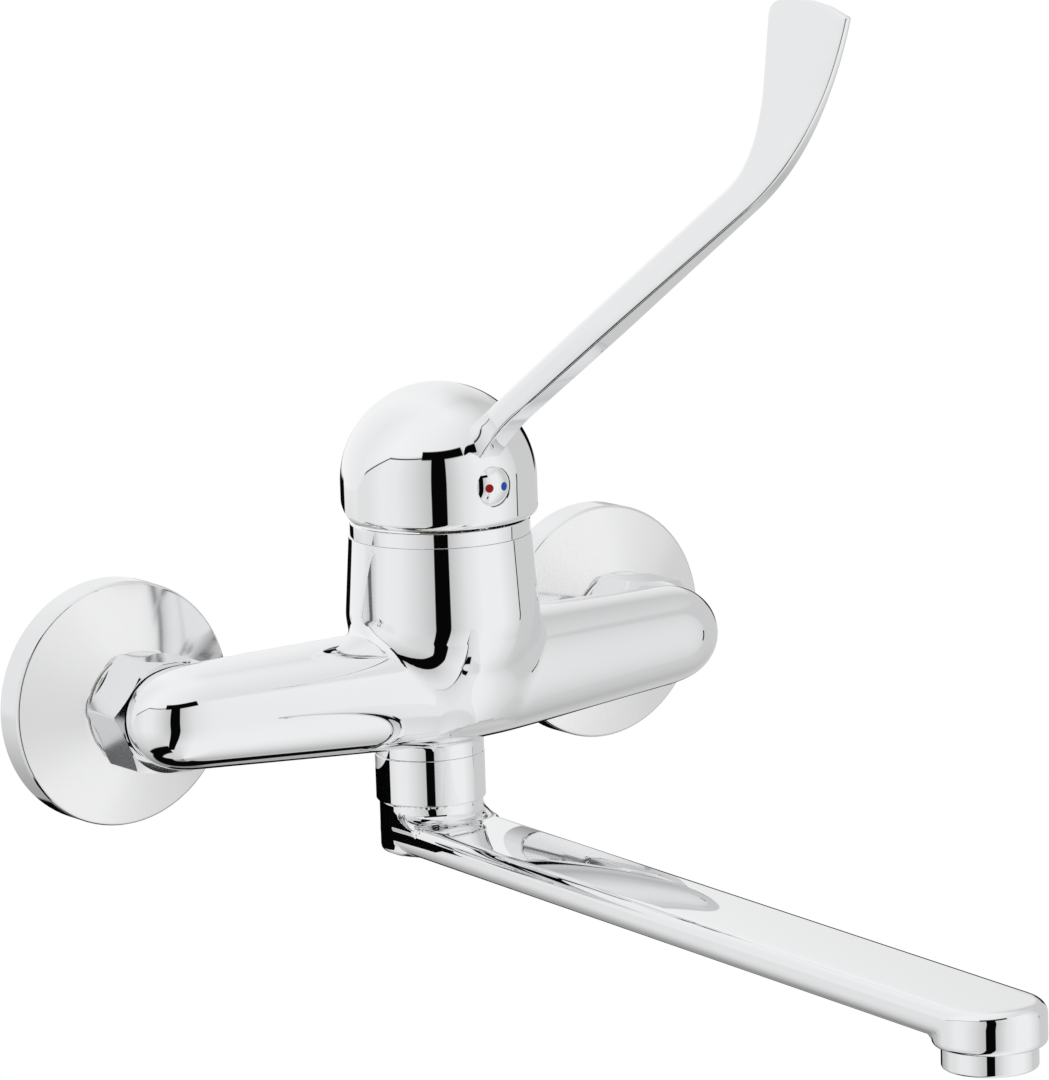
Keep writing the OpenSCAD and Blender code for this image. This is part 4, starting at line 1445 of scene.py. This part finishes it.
DARK_PANELS = (
    DarkPanel((-8, 10), (-62, 34), lean=8.0),
    DarkPanel((-21, 36), (-2, 8), soft=1.2, from_edge=True),
    DarkPanel((-96, -20), (-0.7, 0.7), from_edge=True),
    DarkPanel((103.2, 105.0), (-14, 0), soft=0.5),
    DarkPanel((3, 35), (-14, -7), soft=1.5, from_behind=True),
    DarkPanel((-9, 25), (-36, -16), soft=3.0, from_behind=True),
    DarkPanel((-25, 88), (-80, -56), soft=2.0, from_behind=True),
    DarkPanel((-100, -24), (-69, -51), soft=2.0),
    DarkPanel((-26, -3), (-7, 6), soft=2.0, from_behind=True),
)


@dataclass
class Studio:
    """White floor and world, light tent, dark card and the camera of the photograph, in metres."""

    azimuth: float = math.radians(35.073)
    elevation: float = math.radians(10.486)
    roll: float = math.radians(-1.817)
    distance: float = 1.47803
    target: tuple[float, float, float] = (0.013571, -0.06, 0.04217)
    focal_pixels: float = 5849.1
    image_height: float = 1080.0
    sensor: float = 36.0
    view_depth: float = 20.0
    world_colour: tuple[float, float, float, float] = (0.9, 0.9, 0.91, 1.0)
    floor_z: float = -1.05
    floor_half: float = 6.0
    floor_tone: float = 0.86
    floor_roughness: float = 0.9
    tent_middle: tuple[float, float, float] = (0.0, NECK_Y * MM, DOME_Z * MM)
    tent_r: float = 3.0
    tent_height: float = 1.0
    zenith: tuple[float, float] = (46.0, 80.0)
    edge_soft: float = 4.0
    card_edges: tuple[float, float, float, float] = (-0.062, 0.03, -0.052, -0.025)
    card_y: float = 0.002

    def build(self) -> None:
        """Sets up view, world, floor, tent, card and camera."""
        bpy.context.scene.view_settings.view_transform = "Standard"
        self.world()
        self.floor()
        self.tent()
        self.card()
        self.camera()

    def axes(self) -> tuple[Vector, Vector, Vector]:
        """Gives the camera's right, up and backward directions without roll.

        Returns:
            Three unit vectors.
        """
        back = Vector((-math.sin(self.azimuth) * math.cos(self.elevation),
                       -math.cos(self.azimuth) * math.cos(self.elevation), math.sin(self.elevation)))
        right = Vector((0, 0, 1)).cross(back).normalized()
        return right, back.cross(right), back

    def camera(self) -> None:
        """Places the camera at the photograph's angle."""
        right, high, back = self.axes()
        turned_right = right * math.cos(self.roll) + high * math.sin(self.roll)
        turned_high = high * math.cos(self.roll) - right * math.sin(self.roll)
        data = bpy.data.cameras.new("photo_camera")
        data.sensor_width = self.sensor
        data.lens = self.focal_pixels / self.image_height * data.sensor_width
        data.clip_end = self.view_depth
        obj = bpy.data.objects.new("photo_camera", data)
        basis = Matrix((turned_right, turned_high, back)).transposed().to_4x4()
        obj.matrix_world = Matrix.Translation(Vector(self.target) + back * self.distance) @ basis
        bpy.context.scene.collection.objects.link(obj)
        bpy.context.scene.camera = obj

    def world(self) -> None:
        """Lights the scene with a plain white world."""
        world = bpy.data.worlds.new("white_studio")
        world.use_nodes = True
        bpy.context.scene.world = world
        nodes = Nodes(world.node_tree)
        light = world.node_tree.nodes["Background"]
        nodes.feed(light.inputs, {"Color": self.world_colour, "Strength": 1.0})
        seen = nodes.add("ShaderNodeBackground", {"Color": grey(1.0)})
        nodes.show("World Output", light.outputs[0], seen[0])

    def stage_object(self, bm: BMesh, name: str, material: bpy.types.Material, reflected_only: bool) -> None:
        """Adds a stage piece that isn't part of the tap.

        Args:
            bm: Mesh in metres; it is freed.
            name: Name of the piece.
            material: Its material.
            reflected_only: Whether it shows only in reflections.
        """
        mesh = bpy.data.meshes.new(name)
        bm.to_mesh(mesh)
        bm.free()
        mesh.materials.append(material)
        obj = bpy.data.objects.new(name, mesh)
        bpy.context.scene.collection.objects.link(obj)
        if reflected_only:
            obj.visible_camera = obj.visible_diffuse = obj.visible_shadow = obj.visible_transmission = False

    def floor(self) -> None:
        """Lays a wide pale floor under the tap."""
        made, nodes, matt = new_material("pale_floor")
        nodes.feed(matt.inputs, {"Base Color": grey(self.floor_tone), "Roughness": self.floor_roughness})
        nodes.show("Material Output", matt.outputs[0], nodes.add("ShaderNodeEmission")[0])
        bm = bmesh.new()
        bmesh.ops.create_grid(bm, x_segments=1, y_segments=1, size=self.floor_half, matrix=up(self.floor_z))
        self.stage_object(bm, "floor", made, False)

    def tent(self) -> None:
        """Sets a wide light tent of soft grey panels around the tap, seen only in its reflections."""
        made, nodes, shader = new_material("light_tent")
        nodes.tree.nodes.remove(shader)
        glow = nodes.add("ShaderNodeEmission", {"Color": self.tent_tone(nodes)})
        nodes.feed(nodes.tree.nodes["Material Output"].inputs, {"Surface": glow[0]})
        bm = bmesh.new()
        bmesh.ops.create_uvsphere(bm, u_segments=96, v_segments=64, radius=1.0,
                                  matrix=Matrix.Translation(self.tent_middle)
                                  @ Matrix.Diagonal((self.tent_r, self.tent_r, self.tent_height, 1)))
        bmesh.ops.reverse_faces(bm, faces=bm.faces[:])
        self.stage_object(bm, "light_tent", made, True)

    def tent_tone(self, nodes: Nodes) -> Socket:
        """Paints the tent's panels by direction from the cap.

        Args:
            nodes: Nodes of the tent's material.

        Returns:
            The colour socket.
        """
        around, behind, level = self.directions(nodes)
        turn, height = nodes.span(around, -180.0, 180.0), nodes.span(level, -90.0, 90.0)
        wall, ceiling, ground = (nodes.ramp(turn, tones) for tones in (WALL_TONES, CEILING_TONES, GROUND_TONES))
        edge = nodes.calc("MULTIPLY", nodes.calc("SUBTRACT", nodes.ramp(turn, CEILING_EDGE), 0.5), EDGE_RANGE)
        above = nodes.calc("SUBTRACT", level, edge)
        upper = nodes.mix(nodes.span(above, 0.0, self.edge_soft), wall, ceiling)
        upper = nodes.mix(nodes.span(level, *self.zenith), upper, ZENITH_TONE)
        whole = nodes.mix(nodes.ramp(height, GROUND_SHARE), upper, ground)
        dark = nodes.chain("MAXIMUM", [
            panel.mask(nodes, behind if panel.from_behind else around, above if panel.from_edge else level)
            for panel in DARK_PANELS])
        return nodes.mix(dark, whole, DARK_TONE)

    def directions(self, nodes: Nodes) -> list[Socket]:
        """Works out the direction of each point of the tent from the cap.

        Args:
            nodes: Nodes of the tent's material.

        Returns:
            Degrees around from the camera, around from behind the tap leftwards, and up from level.
        """
        right, _, back = self.axes()
        ahead = Vector((back.x, back.y, 0)).normalized()
        spot = nodes.add("ShaderNodeTexCoord")["Object"]
        unit = nodes.vector("NORMALIZE", nodes.vector("SUBTRACT", spot, self.tent_middle)[0])[0]
        parts = [nodes.vector("DOT_PRODUCT", unit, axis)["Value"]
                 for axis in (right, ahead, -right, -ahead, Vector((0, 0, 1)))]
        turns = (("ARCTAN2", parts[0], parts[1]), ("ARCTAN2", parts[2], parts[3]), ("ARCSINE", parts[4], 0.0))
        return [nodes.calc("MULTIPLY", nodes.calc(*turn), 180 / math.pi) for turn in turns]

    def card(self) -> None:
        """Stands a small dark card under the tap at the wall, seen only in its reflections."""
        made, nodes, shader = new_material("dark_card")
        nodes.feed(shader.inputs, {"Base Color": DARK_TONE, "Roughness": 1.0, "Specular IOR Level": 0.0})
        left, right, low, high = self.card_edges
        middle = Matrix.Translation(((left + right) / 2, self.card_y, (low + high) / 2))
        upright = middle @ Matrix.Rotation(QUARTER_TURN, 4, "X")
        bm = bmesh.new()
        bmesh.ops.create_grid(bm, x_segments=1, y_segments=1, size=0.5,
                              matrix=upright @ Matrix.Diagonal((right - left, high - low, 1, 1)))
        self.stage_object(bm, "dark_card", made, True)


def main() -> None:
    """Builds the tap and its studio and logs each piece."""
    logging.basicConfig(level=logging.INFO, format="%(name)s %(message)s")
    Studio().build()
    for side in Side:
        WallConnection(side).build()
    BowedBody().build()
    Cartridge().build()
    ElbowLever().build()
    SwivelSpout().build()


if __name__ == "__main__":
    main()
